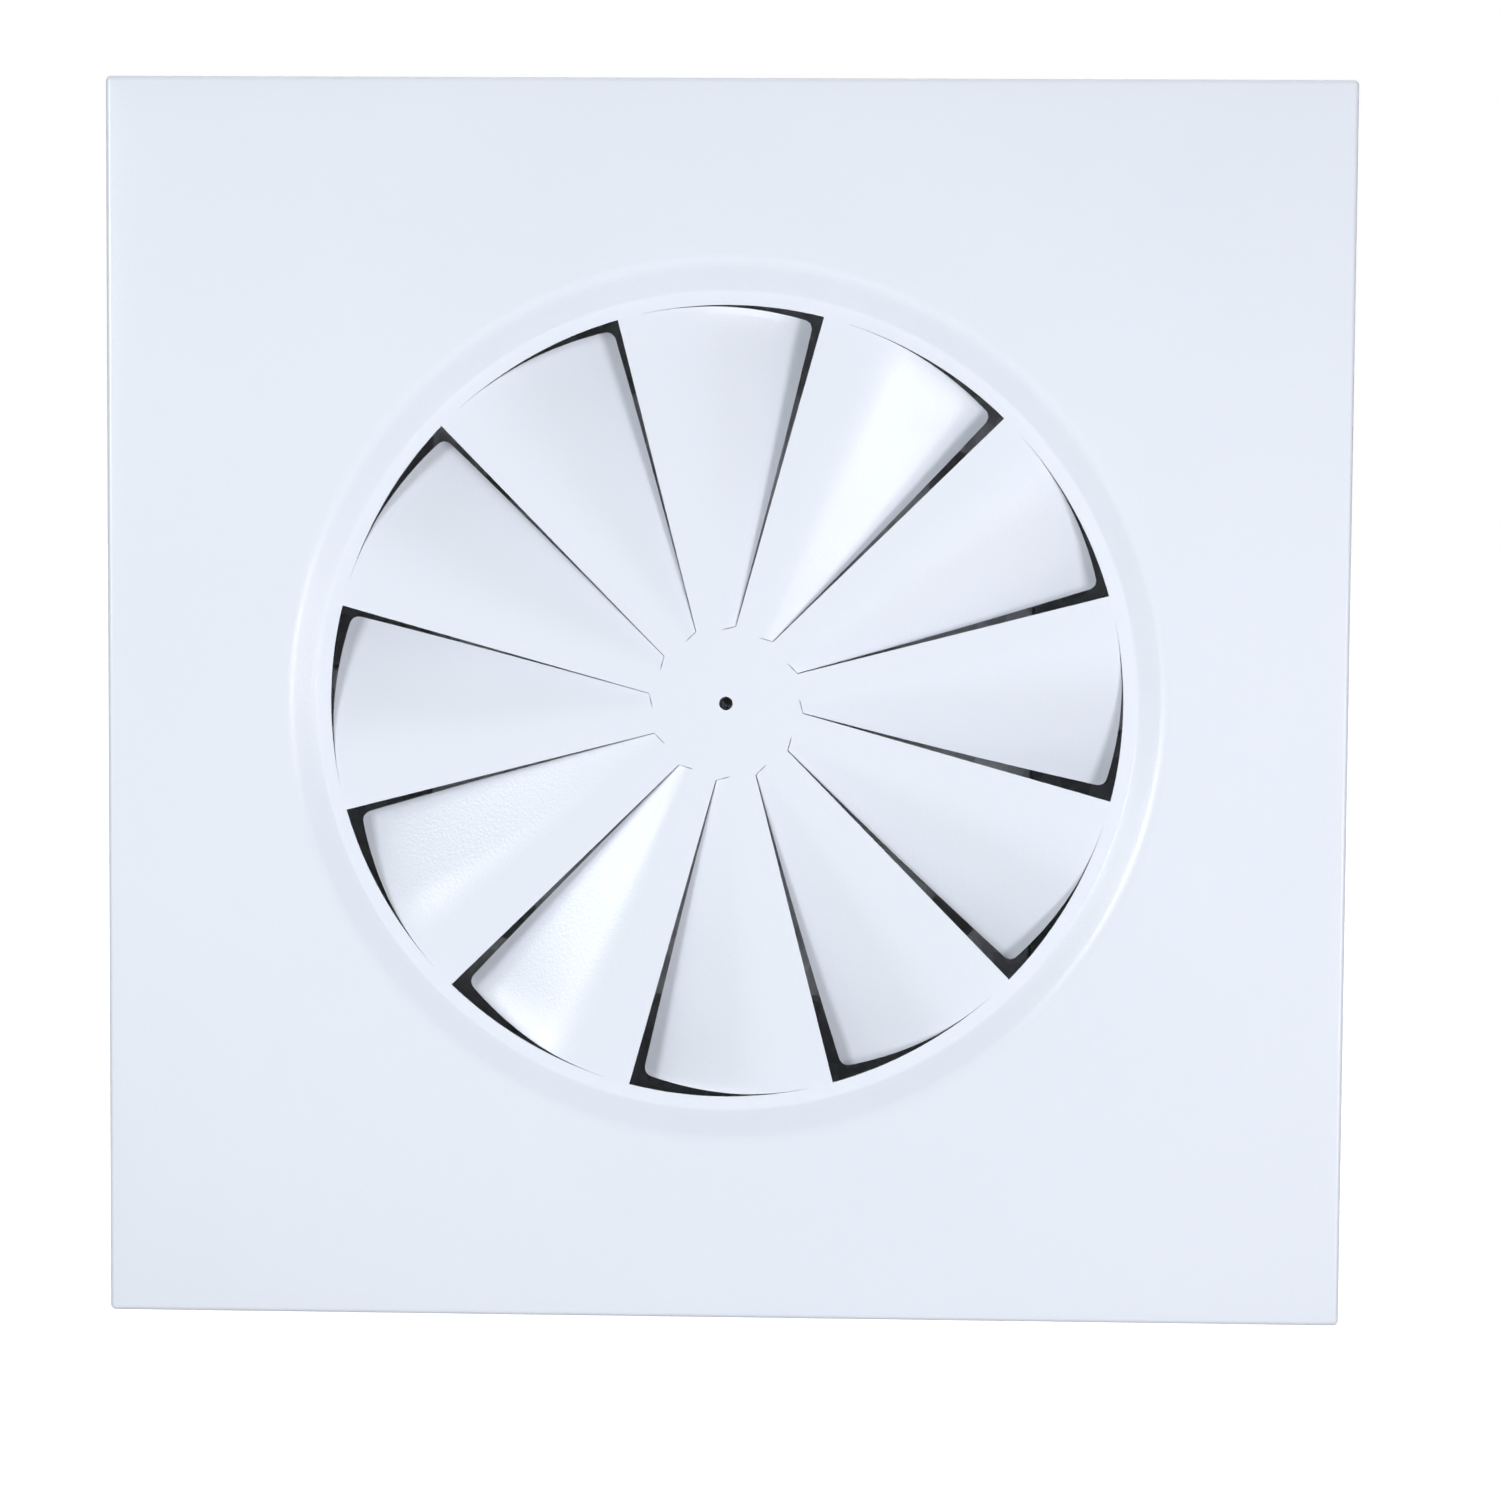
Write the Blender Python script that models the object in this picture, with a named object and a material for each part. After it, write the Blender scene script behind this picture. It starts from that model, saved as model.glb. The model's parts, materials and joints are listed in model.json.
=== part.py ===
"""Square swirl air diffuser on its plenum box.

The face plate is one pressed steel sheet: a square with folded lips, a round recess, and
twelve blades cut and bent out of the sheet between flat radial spokes.  Behind it are a
sheet-metal plenum box with a crossbar and a baffle, and a round duct spigot with a damper.

World frame, in metres: +X to the right of the face, +Z up, and +Y from the face back into
the plenum.  The origin is the centre of the whole unit.  Every part hangs from one empty
at the face, so a local Y is a depth behind the face plane.
"""

import math

import bmesh
import bpy
from mathutils import Matrix, Vector

MM = 0.001
GAP = 0.3 * MM

# Face plate
PLATE_HALF = 297.5 * MM
SHEET = 1.0 * MM
EDGE_RADIUS = 2.5 * MM
LIP_DEPTH = 15.0 * MM
HOLE_RADIUS = 3.25 * MM

# Round recess: an outer roll, a straight slope and an inner fillet down to a flat ring
ROLL_START = 215.0 * MM
ROLL_RADIUS = 14.0 * MM
SLOPE = math.radians(33.0)
FILLET_RADIUS = 3.0 * MM
RING_OUTER = 196.5 * MM

# Swirl pattern: twelve spokes, each with a blade bent back along its clockwise side
BLADES = 12
PITCH = 2.0 * math.pi / BLADES
SPOKE_AZIMUTH = math.radians(14.5)
SPOKE_CUT_SIDE = 5.4 * MM
SPOKE_BEND_SIDE = 6.5 * MM
CUT_RADIUS = 190.8 * MM
HUB_CUT = 34.7 * MM
KERF = 0.5 * MM
BEND_ANGLE = math.radians(24.0)
BEND_RATIO = 0.5
BLADE_ROWS = 6
BLADE_SPANS = (0.0, 0.15, 0.3, 0.45, 0.7, 1.0)

# Plenum box
BOX_HALF = 284.0 * MM
BOX_SHEET = 1.0 * MM
BOX_FLANGE = 15.0 * MM
SEAL_THICKNESS = 3.0 * MM
SEAL_WIDTH = 10.0 * MM
BOX_FRONT = SHEET + SEAL_THICKNESS + 2.0 * GAP
PANEL_REAR = 186.0 * MM
TRAY_RIM = 15.0 * MM

# Crossbar behind the hub
BAR_FRONT = 45.0 * MM
BAR_SHEET = 1.5 * MM
BAR_WIDTH = 30.0 * MM
BAR_EDGE = 15.0 * MM
BAR_TAB = 25.0 * MM

# Baffle in front of the spigot
BAFFLE_HALF = 150.0 * MM
BAFFLE_FRONT = 78.0 * MM
BAFFLE_FOOT = 18.0 * MM
BAFFLE_HOLES = 6
BAFFLE_PITCH = 44.0 * MM
BAFFLE_HOLE_RADIUS = 13.0 * MM
BAFFLE_SOLID_RADIUS = 114.0 * MM

# Spigot and damper
SPIGOT_RADIUS = 99.0 * MM
SPIGOT_SHEET = 1.0 * MM
SPIGOT_INSIDE = 10.0 * MM
SPIGOT_LENGTH = 110.0 * MM
SPIGOT_FLANGE = 15.0 * MM
SPIGOT_SIDES = 40
OVERALL_DEPTH = PANEL_REAR + SPIGOT_LENGTH
SHAFT_DEPTH = 200.0 * MM
SHAFT_RADIUS = 4.0 * MM
THREAD_RADIUS = 3.0 * MM
BLADE_RADIUS = 95.5 * MM
BLADE_SHEET = 1.5 * MM
CLAMP_OFFSET = 55.0 * MM

# Locking quadrant and lever, outside the spigot on the right
QUADRANT_X = 115.0 * MM
QUADRANT_SHEET = 1.5 * MM
QUADRANT_RADIUS = 56.0 * MM
QUADRANT_FOOT = 24.0 * MM
LOCK_RADIUS = 45.0 * MM
WING_SHAPE = ((3.6, 1.0), (6.5, 2.0), (10.0, 6.5), (9.2, 9.0), (6.8, 8.0), (3.6, 5.0))
WING_HUB = 5.0 * MM
LEVER_X = QUADRANT_X + QUADRANT_SHEET + 2.0 * MM
LEVER_SHEET = 3.0 * MM
LEVER_LENGTH = 66.0 * MM
LEVER_HALF = 7.0 * MM

# Hanger lugs at the rear corners
LUG_CENTRE = 245.0 * MM
LUG_FOOT = 30.0 * MM
LUG_HEIGHT = 40.0 * MM
LUG_LENGTH = 40.0 * MM
LUG_SHEET = 1.5 * MM
LUG_HOLE_RADIUS = 4.5 * MM

# Fasteners
RIVET_RADIUS = 1.6 * MM
RIVET_HEAD = 3.2 * MM
SCREW_RADIUS = 1.9 * MM
HOLE_EASE = 0.35 * MM


def clear_scene():
    for item in list(bpy.data.objects):
        bpy.data.objects.remove(item, do_unlink=True)


def make_material(name, colour, metallic, roughness):
    material = bpy.data.materials.new(name)
    material.use_nodes = True
    shader = material.node_tree.nodes["Principled BSDF"]
    shader.inputs["Base Color"].default_value = (*colour, 1.0)
    shader.inputs["Metallic"].default_value = metallic
    shader.inputs["Roughness"].default_value = roughness
    return material


def make_mesh(name, bm):
    """A mesh from bm, faces pointing out, smooth except at sharp edges."""
    mesh = bpy.data.meshes.new(name)
    bm.to_mesh(mesh)
    bm.free()
    mesh.shade_smooth()
    mesh.set_sharp_from_angle(angle=math.radians(30.0))
    return mesh


def add(name, mesh, material, parent, location=(0.0, 0.0, 0.0), turn=None):
    """Place one named part; turn is a 3x3 rotation in the parent's frame."""
    item = bpy.data.objects.new(name, mesh)
    if not mesh.materials:
        mesh.materials.append(material)
    bpy.context.collection.objects.link(item)
    item.parent = parent
    item.location = location
    if turn is not None:
        item.rotation_euler = turn.to_euler()
    return item


def add_empty(name, parent, location):
    item = bpy.data.objects.new(name, None)
    bpy.context.collection.objects.link(item)
    item.parent = parent
    item.location = location
    return item


def lathe(profile, sides, phase=0.0):
    """Turn (radius, depth) points about +Y.  A profile that starts on the axis also ends there."""
    bm = bmesh.new()
    rings = []
    for radius, depth in profile:
        if radius == 0.0:
            rings.append([bm.verts.new((0.0, depth, 0.0))] * sides)
            continue
        ring = []
        for i in range(sides):
            angle = phase + 2.0 * math.pi * i / sides
            ring.append(bm.verts.new((radius * math.cos(angle), depth, radius * math.sin(angle))))
        rings.append(ring)
    if profile[0][0] > 0.0:
        rings.append(rings[0])
    for first, second in zip(rings, rings[1:]):
        for i in range(sides):
            j = (i + 1) % sides
            corners = list(dict.fromkeys((first[i], first[j], second[j], second[i])))
            if len(corners) > 2:
                bm.faces.new(corners)
    bmesh.ops.recalc_face_normals(bm, faces=bm.faces)
    return bm


def square_turn(profile):
    """Carry (half width, depth) points round a square."""
    return lathe([(half * math.sqrt(2.0), depth) for half, depth in profile], 4, math.pi / 4.0)


def prism(outline, low, high, axis):
    """Extrude a flat outline from low to high along X, Y or Z."""
    place = {
        "X": lambda a, b, h: (h, a, b),
        "Y": lambda a, b, h: (a, h, b),
        "Z": lambda a, b, h: (a, b, h),
    }[axis]
    bm = bmesh.new()
    bottom = [bm.verts.new(place(a, b, low)) for a, b in outline]
    top = [bm.verts.new(place(a, b, high)) for a, b in outline]
    bm.faces.new(bottom)
    bm.faces.new(top)
    for i in range(len(outline)):
        j = (i + 1) % len(outline)
        bm.faces.new((bottom[i], bottom[j], top[j], top[i]))
    bmesh.ops.recalc_face_normals(bm, faces=bm.faces)
    return bm


def arc(centre, radius, start, end, count):
    """Points on an arc, both ends included, angles in radians."""
    points = []
    for i in range(count + 1):
        angle = start + (end - start) * i / count
        points.append((centre[0] + radius * math.cos(angle), centre[1] + radius * math.sin(angle)))
    return points


def circle(centre, radius, sides):
    return arc(centre, radius, 0.0, 2.0 * math.pi, sides)[:-1]


def box_outline(low_a, high_a, low_b, high_b):
    return [(low_a, low_b), (high_a, low_b), (high_a, high_b), (low_a, high_b)]


def merged(parts):
    """One bmesh from several."""
    whole = bmesh.new()
    for part in parts:
        mesh = bpy.data.meshes.new("piece")
        part.to_mesh(mesh)
        part.free()
        whole.from_mesh(mesh)
        bpy.data.meshes.remove(mesh)
    return whole


def boolean(target, tool_name, parts, operation):
    """Cut the parts from the target, or join them to it, with a hidden wire tool."""
    tool = add(tool_name, make_mesh(tool_name, merged(parts)), target.data.materials[0], target.parent)
    tool.hide_render = True
    tool.display_type = "WIRE"
    modifier = target.modifiers.new(tool_name, "BOOLEAN")
    modifier.operation = operation
    modifier.solver = "EXACT"
    modifier.object = tool


def recess_profile():
    """Front-surface (radius, depth) points from the plate down to the flat ring."""
    points = []
    for i in range(3):
        angle = SLOPE * i / 2.0
        radius = ROLL_START - ROLL_RADIUS * math.sin(angle)
        points.append((radius, ROLL_RADIUS * (1.0 - math.cos(angle))))
    slope_end = RING_OUTER + FILLET_RADIUS * math.sin(SLOPE)
    slope_depth = points[-1][1] + (points[-1][0] - slope_end) * math.tan(SLOPE)
    points.append((slope_end, slope_depth))
    floor = slope_depth + FILLET_RADIUS * (1.0 - math.cos(SLOPE))
    points.append((RING_OUTER, floor))
    points.append((CUT_RADIUS, floor))
    return points


def spoke_point(index, along, across, depth):
    """A point given along a spoke's centre line, clockwise across it, and in depth."""
    azimuth = SPOKE_AZIMUTH - index * PITCH
    x = along * math.cos(azimuth) + across * math.sin(azimuth)
    z = along * math.sin(azimuth) - across * math.cos(azimuth)
    return (x, depth, z)


def bent(along, across, floor):
    """Bend a flat blade point back about its spoke; the bend widens away from the hub."""
    reach = across - SPOKE_BEND_SIDE
    radius = BEND_RATIO * along
    angle = min(reach / radius, BEND_ANGLE)
    straight = reach - radius * angle
    moved = SPOKE_BEND_SIDE + radius * math.sin(angle) + straight * math.cos(angle)
    sink = radius * (1.0 - math.cos(angle)) + straight * math.sin(angle)
    return (along, moved, floor + sink)


def blade_flat_point(row, share):
    """A flat blade point: row 0..1 from hub to rim, share 0..1 from bend line to free edge."""
    inner = HUB_CUT + 0.5 * KERF
    outer = CUT_RADIUS - KERF
    hinge_along = inner + (math.sqrt(outer**2 - SPOKE_BEND_SIDE**2) - inner) * row
    free_side = SPOKE_CUT_SIDE + KERF
    free_inner = (inner - free_side * math.sin(PITCH)) / math.cos(PITCH)
    free_along = free_inner + (math.sqrt(outer**2 - free_side**2) - free_inner) * row
    start_radius = math.hypot(hinge_along, SPOKE_BEND_SIDE)
    start_angle = math.atan2(SPOKE_BEND_SIDE, hinge_along)
    end_radius = math.hypot(free_along, free_side)
    end_angle = PITCH - math.atan2(free_side, free_along)
    radius = start_radius + (end_radius - start_radius) * share
    angle = start_angle + (end_angle - start_angle) * share
    return (radius * math.cos(angle), radius * math.sin(angle))


def face_plate_mesh():
    """Front surface of the plate; a Solidify modifier gives it its sheet thickness."""
    bm = bmesh.new()
    profile = recess_profile()
    floor = profile[-1][1]
    rows = [i / BLADE_ROWS for i in range(BLADE_ROWS + 1)]

    hub_inner = HUB_CUT - 0.5 * KERF
    cut_inner = (hub_inner - SPOKE_CUT_SIDE * math.sin(PITCH)) / math.cos(PITCH)
    cut_outer = math.sqrt(CUT_RADIUS**2 - SPOKE_CUT_SIDE**2)
    bend_outer = math.sqrt(CUT_RADIUS**2 - SPOKE_BEND_SIDE**2)

    cut_edges = []
    bend_edges = []
    rings = [[] for _ in profile]
    for k in range(BLADES):
        # Spoke edges: hub end, the blade's rows, rim end
        bend_side = [bm.verts.new(spoke_point(k, hub_inner, SPOKE_BEND_SIDE, floor))]
        for row in rows:
            bend_side.append(bm.verts.new(spoke_point(k, *blade_flat_point(row, 0.0), floor)))
        bend_side.append(bm.verts.new(spoke_point(k, bend_outer, SPOKE_BEND_SIDE, floor)))
        cut_side = []
        steps = len(bend_side) - 1
        for i in range(steps + 1):
            along = cut_inner + (cut_outer - cut_inner) * i / steps
            cut_side.append(bm.verts.new(spoke_point(k, along, -SPOKE_CUT_SIDE, floor)))
        for i in range(steps):
            bm.faces.new((cut_side[i], cut_side[i + 1], bend_side[i + 1], bend_side[i]))
        cut_edges.append(cut_side)
        bend_edges.append(bend_side)

        # Blade, bent back from the spoke's clockwise side
        grid = []
        for j, row in enumerate(rows):
            line = [bend_side[j + 1]]
            for share in BLADE_SPANS[1:]:
                point = bent(*blade_flat_point(row, share), floor)
                line.append(bm.verts.new(spoke_point(k, *point)))
            grid.append(line)
        for lower, upper in zip(grid, grid[1:]):
            for i in range(len(lower) - 1):
                bm.faces.new((lower[i], upper[i], upper[i + 1], lower[i + 1]))

        # Ring columns: the spoke's two corners, then points facing the blade's outer edge
        azimuths = []
        for share in BLADE_SPANS[1:-1]:
            along, across = blade_flat_point(1.0, share)
            azimuths.append(SPOKE_AZIMUTH - k * PITCH - math.atan2(across, along))
        corner_azimuths = [
            SPOKE_AZIMUTH - k * PITCH + math.asin(SPOKE_CUT_SIDE / CUT_RADIUS),
            SPOKE_AZIMUTH - k * PITCH - math.asin(SPOKE_BEND_SIDE / CUT_RADIUS),
        ]
        for ring, (radius, depth) in zip(rings, profile):
            if ring is rings[-1]:
                ring.extend((cut_side[-1], bend_side[-1]))
                columns = azimuths
            else:
                columns = corner_azimuths + azimuths
            for azimuth in columns:
                spot = (radius * math.cos(azimuth), depth, radius * math.sin(azimuth))
                ring.append(bm.verts.new(spot))

    for outer, inner in zip(rings, rings[1:]):
        for i in range(len(outer)):
            j = (i + 1) % len(outer)
            bm.faces.new((inner[i], outer[i], outer[j], inner[j]))

    # Hub with its centre hole
    rim = []
    for k in range(BLADES):
        rim.extend((cut_edges[k][0], bend_edges[k][0]))
    hole = []
    for vertex in rim:
        azimuth = math.atan2(vertex.co.z, vertex.co.x)
        spot = (HOLE_RADIUS * math.cos(azimuth), floor, HOLE_RADIUS * math.sin(azimuth))
        hole.append(bm.verts.new(spot))
    for i in range(len(rim)):
        j = (i + 1) % len(rim)
        bm.faces.new((hole[i], rim[i], rim[j], hole[j]))

    add_square_border(bm, rings[0])
    bmesh.ops.recalc_face_normals(bm, faces=bm.faces)
    bm.faces.ensure_lookup_table()
    if bm.faces[0].normal.y > 0.0:
        bmesh.ops.reverse_faces(bm, faces=bm.faces)
    return bm


def add_square_border(bm, inner_loop):
    """Flat border from the round recess to the square, its rounded edge and folded lip."""
    flat_half = PLATE_HALF - EDGE_RADIUS
    corners = []
    for a, b in ((1, 1), (1, -1), (-1, -1), (-1, 1)):
        corners.append(bm.verts.new((a * flat_half, 0.0, b * flat_half)))
    edges = [bm.edges.new((corners[i - 1], corners[i])) for i in range(4)]
    for i in range(len(inner_loop)):
        edge = bm.edges.get((inner_loop[i - 1], inner_loop[i]))
        edges.append(edge)
    bmesh.ops.triangle_fill(bm, use_beauty=True, use_dissolve=False, edges=edges)

    # Each row holds three vertices per corner: two side directions and the diagonal between
    previous = [corner for corner in corners for _ in range(3)]
    for angle_share, depth_extra in ((0.5, 0.0), (1.0, 0.0), (1.0, LIP_DEPTH - EDGE_RADIUS)):
        angle = math.radians(90.0) * angle_share
        outward = EDGE_RADIUS * math.sin(angle)
        depth = EDGE_RADIUS * (1.0 - math.cos(angle)) + depth_extra
        row = []
        for corner in corners:
            azimuth = math.atan2(corner.co.z, corner.co.x)
            for turn in (math.pi / 4.0, 0.0, -math.pi / 4.0):
                x = corner.co.x + outward * math.cos(azimuth + turn)
                z = corner.co.z + outward * math.sin(azimuth + turn)
                row.append(bm.verts.new((x, depth, z)))
        for i in range(len(row)):
            j = (i + 1) % len(row)
            corners_used = list(dict.fromkeys((previous[i], previous[j], row[j], row[i])))
            bm.faces.new(corners_used)
        previous = row


def build_face(parent, paint, foam):
    plate = add("face_plate", make_mesh("face_plate", face_plate_mesh()), paint, parent)
    solidify = plate.modifiers.new("sheet", "SOLIDIFY")
    solidify.thickness = SHEET
    solidify.offset = -1.0
    solidify.use_even_offset = True
    solidify.use_quality_normals = True

    outer = BOX_HALF - 2.0 * MM
    front = SHEET + GAP
    seal = square_turn(
        [
            (outer, front),
            (outer, front + SEAL_THICKNESS),
            (outer - SEAL_WIDTH, front + SEAL_THICKNESS),
            (outer - SEAL_WIDTH, front),
        ]
    )
    add("face_seal", make_mesh("face_seal", seal), foam, parent)


def rivet_mesh(name, grip):
    """Blind rivet along +Y: head below 0, shank through the sheets, swollen tail beyond."""
    shank = grip + 2.0 * GAP
    profile = [
        (0.0, -1.3 * MM),
        (0.7 * RIVET_HEAD, -1.0 * MM),
        (RIVET_HEAD, 0.0),
        (RIVET_RADIUS, 0.0),
        (RIVET_RADIUS, shank),
        (1.45 * RIVET_RADIUS, shank + 0.4 * MM),
        (1.3 * RIVET_RADIUS, shank + 2.4 * MM),
        (0.0, shank + 2.8 * MM),
    ]
    return make_mesh(name, lathe(profile, 8))


def pointing(direction):
    """Rotation that turns +Y to the direction."""
    return Vector((0.0, 1.0, 0.0)).rotation_difference(Vector(direction)).to_matrix()


def rivet_hole(position, direction, radius=RIVET_RADIUS, reach=8.0 * MM):
    """A short eight-sided cutter centred on the position."""
    radius = (radius + HOLE_EASE) / math.cos(math.pi / 8.0)
    tool = lathe([(0.0, -reach), (radius, -reach), (radius, reach), (0.0, reach)], 8)
    turn = pointing(direction).to_4x4()
    bmesh.ops.transform(tool, matrix=Matrix.Translation(position) @ turn, verts=tool.verts)
    return tool


def side_rivet_spots():
    """Outer skin positions and inward directions of the four rivets round the tray rim."""
    skin = BOX_HALF + GAP + BOX_SHEET
    depth = PANEL_REAR - 0.5 * TRAY_RIM
    return [
        ((skin, depth, 0.0), (-1, 0, 0)),
        ((-skin, depth, 0.0), (1, 0, 0)),
        ((0.0, depth, skin), (0, 0, -1)),
        ((0.0, depth, -skin), (0, 0, 1)),
    ]


def flange_spots():
    radius = SPIGOT_RADIUS + 0.5 * SPIGOT_FLANGE
    spots = []
    for i in range(6):
        angle = math.radians(30.0 + 60.0 * i)
        spots.append((radius * math.cos(angle), PANEL_REAR, radius * math.sin(angle)))
    return spots


def lug_spots():
    """Two rivets in the foot of each of the four lugs."""
    spots = []
    for side_x in (-1, 1):
        for side_z in (-1, 1):
            for step in (-12.0 * MM, 12.0 * MM):
                spots.append((side_x * (LUG_CENTRE - 4.0 * MM), PANEL_REAR, side_z * LUG_CENTRE + step))
    return spots


def quadrant_spots():
    return [(QUADRANT_X + 14.0 * MM, PANEL_REAR, z) for z in (0.0, 42.0 * MM)]


def baffle_spots():
    spots = []
    for side in (-1, 1):
        for z in (-100.0 * MM, 100.0 * MM):
            spots.append((side * (BAFFLE_HALF + 10.0 * MM), PANEL_REAR, z))
    return spots


def bar_screw_spots():
    depth = BAR_FRONT + BAR_TAB - 5.0 * MM
    spots = []
    for side in (-1, 1):
        for z in (-9.0 * MM, 9.0 * MM):
            spots.append(((side * BOX_HALF, depth, z), (-side, 0, 0)))
    return spots


def build_box(parent, steel):
    inner = BOX_HALF - BOX_SHEET
    rear = PANEL_REAR - BOX_SHEET - GAP
    wrap_profile = [
        (BOX_HALF, BOX_FRONT),
        (BOX_HALF, rear),
        (inner, rear),
        (inner, BOX_FRONT + BOX_SHEET),
        (BOX_HALF - BOX_FLANGE, BOX_FRONT + BOX_SHEET),
        (BOX_HALF - BOX_FLANGE, BOX_FRONT),
    ]
    wrap = add("box_wrap", make_mesh("box_wrap", square_turn(wrap_profile)), steel, parent)
    holes = [rivet_hole(spot, way) for spot, way in side_rivet_spots()]
    holes += [rivet_hole(spot, way, SCREW_RADIUS) for spot, way in bar_screw_spots()]
    boolean(wrap, "cut_wrap_holes", holes, "DIFFERENCE")

    rim_inner = BOX_HALF + GAP
    rim_outer = rim_inner + BOX_SHEET
    tray_profile = [
        (0.0, PANEL_REAR),
        (rim_outer, PANEL_REAR),
        (rim_outer, PANEL_REAR - TRAY_RIM),
        (rim_inner, PANEL_REAR - TRAY_RIM),
        (rim_inner, PANEL_REAR - BOX_SHEET),
        (0.0, PANEL_REAR - BOX_SHEET),
    ]
    tray = add("box_back", make_mesh("box_back", square_turn(tray_profile)), steel, parent)
    opening = circle((0.0, 0.0), SPIGOT_RADIUS + 2.0 * GAP, SPIGOT_SIDES)
    holes = [prism(opening, PANEL_REAR - 5.0 * MM, PANEL_REAR + 5.0 * MM, "Y")]
    holes += [rivet_hole(spot, way) for spot, way in side_rivet_spots()]
    rear_spots = flange_spots() + lug_spots() + quadrant_spots() + baffle_spots()
    holes += [rivet_hole(spot, (0, 1, 0)) for spot in rear_spots]
    boolean(tray, "cut_tray_holes", holes, "DIFFERENCE")


def build_box_rivets(parent, zinc):
    side_mesh = rivet_mesh("rivet_side", 2.0 * BOX_SHEET + GAP)
    for i, (spot, way) in enumerate(side_rivet_spots(), start=1):
        place = Vector(spot) - GAP * Vector(way)
        add(f"back_rivet_{i}", side_mesh, zinc, parent, place, pointing(way))

    thin = rivet_mesh("rivet_thin", 2.0 * BOX_SHEET + GAP)
    thick = rivet_mesh("rivet_thick", BOX_SHEET + LUG_SHEET + GAP)
    groups = (
        ("spigot_rivet", flange_spots(), thin, SPIGOT_SHEET + GAP),
        ("hanger_rivet", lug_spots(), thick, LUG_SHEET + GAP),
        ("quadrant_rivet", quadrant_spots(), thick, QUADRANT_SHEET + GAP),
        ("baffle_rivet", baffle_spots(), thin, 0.0),
    )
    for name, spots, mesh, rise in groups:
        for i, (x, depth, z) in enumerate(spots, start=1):
            place = (x, depth + rise + GAP, z)
            add(f"{name}_{i}", mesh, zinc, parent, place, pointing((0, -1, 0)))


def build_crossbar(parent, steel, zinc):
    half = 0.5 * BAR_WIDTH
    front = BAR_FRONT
    channel = [
        (front, -half),
        (front + BAR_EDGE, -half),
        (front + BAR_EDGE, -half + BAR_SHEET),
        (front + BAR_SHEET, -half + BAR_SHEET),
        (front + BAR_SHEET, half - BAR_SHEET),
        (front + BAR_EDGE, half - BAR_SHEET),
        (front + BAR_EDGE, half),
        (front, half),
    ]
    wall = BOX_HALF - BOX_SHEET - GAP
    reach = wall - 0.7 * MM
    bar = add("crossbar", make_mesh("crossbar", prism(channel, -reach, reach, "X")), steel, parent)
    tab = box_outline(front, front + BAR_TAB, -half, half)
    tabs = [
        prism(tab, -wall, -wall + BAR_SHEET, "X"),
        prism(tab, wall - BAR_SHEET, wall, "X"),
    ]
    boolean(bar, "join_bar_tabs", tabs, "UNION")
    holes = [rivet_hole(spot, way, SCREW_RADIUS) for spot, way in bar_screw_spots()]
    holes.append(rivet_hole((0.0, front, 0.0), (0, 1, 0), 4.5 * MM))
    boolean(bar, "cut_bar_holes", holes, "DIFFERENCE")

    nut_profile = [
        (2.6 * MM, front - 2.0 * MM),
        (6.5 * MM, front - 2.0 * MM),
        (6.5 * MM, front - GAP),
        (4.5 * MM, front - GAP),
        (4.5 * MM, front + 12.0 * MM),
        (2.6 * MM, front + 12.0 * MM),
    ]
    add("crossbar_rivet_nut", make_mesh("crossbar_rivet_nut", lathe(nut_profile, 16)), zinc, parent)

    screw_profile = [
        (0.0, -2.4 * MM),
        (2.6 * MM, -2.2 * MM),
        (4.0 * MM, -0.9 * MM),
        (4.0 * MM, 0.0),
        (SCREW_RADIUS, 0.0),
        (SCREW_RADIUS, 7.5 * MM),
        (0.0, 10.0 * MM),
    ]
    screw_mesh = make_mesh("crossbar_screw", lathe(screw_profile, 10))
    for i, (spot, way) in enumerate(bar_screw_spots(), start=1):
        place = Vector(spot) - GAP * Vector(way)
        add(f"crossbar_screw_{i}", screw_mesh, zinc, parent, place, pointing(way))


def build_baffle(parent, steel):
    """Sheet folded back to two feet on the rear panel, solid opposite the spigot and
    perforated round it, open at top and bottom."""
    half = BAFFLE_HALF
    foot = PANEL_REAR - BOX_SHEET - GAP
    outline = [
        (-half - BAFFLE_FOOT, foot),
        (-half, foot),
        (-half, BAFFLE_FRONT),
        (half, BAFFLE_FRONT),
        (half, foot),
        (half + BAFFLE_FOOT, foot),
        (half + BAFFLE_FOOT, foot - BOX_SHEET),
        (half + BOX_SHEET, foot - BOX_SHEET),
        (half + BOX_SHEET, BAFFLE_FRONT - BOX_SHEET),
        (-half - BOX_SHEET, BAFFLE_FRONT - BOX_SHEET),
        (-half - BOX_SHEET, foot - BOX_SHEET),
        (-half - BAFFLE_FOOT, foot - BOX_SHEET),
    ]
    baffle = add("baffle_plate", make_mesh("baffle_plate", prism(outline, -half, half, "Z")), steel, parent)
    holes = [rivet_hole(spot, (0, 1, 0)) for spot in baffle_spots()]
    middle = 0.5 * (BAFFLE_HOLES - 1)
    for i in range(BAFFLE_HOLES):
        for j in range(BAFFLE_HOLES):
            centre = ((i - middle) * BAFFLE_PITCH, (j - middle) * BAFFLE_PITCH)
            if math.hypot(*centre) < BAFFLE_SOLID_RADIUS:
                continue
            hole = circle(centre, BAFFLE_HOLE_RADIUS, 12)
            holes.append(prism(hole, BAFFLE_FRONT - 5.0 * MM, BAFFLE_FRONT + 5.0 * MM, "Y"))
    boolean(baffle, "cut_baffle_holes", holes, "DIFFERENCE")


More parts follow.
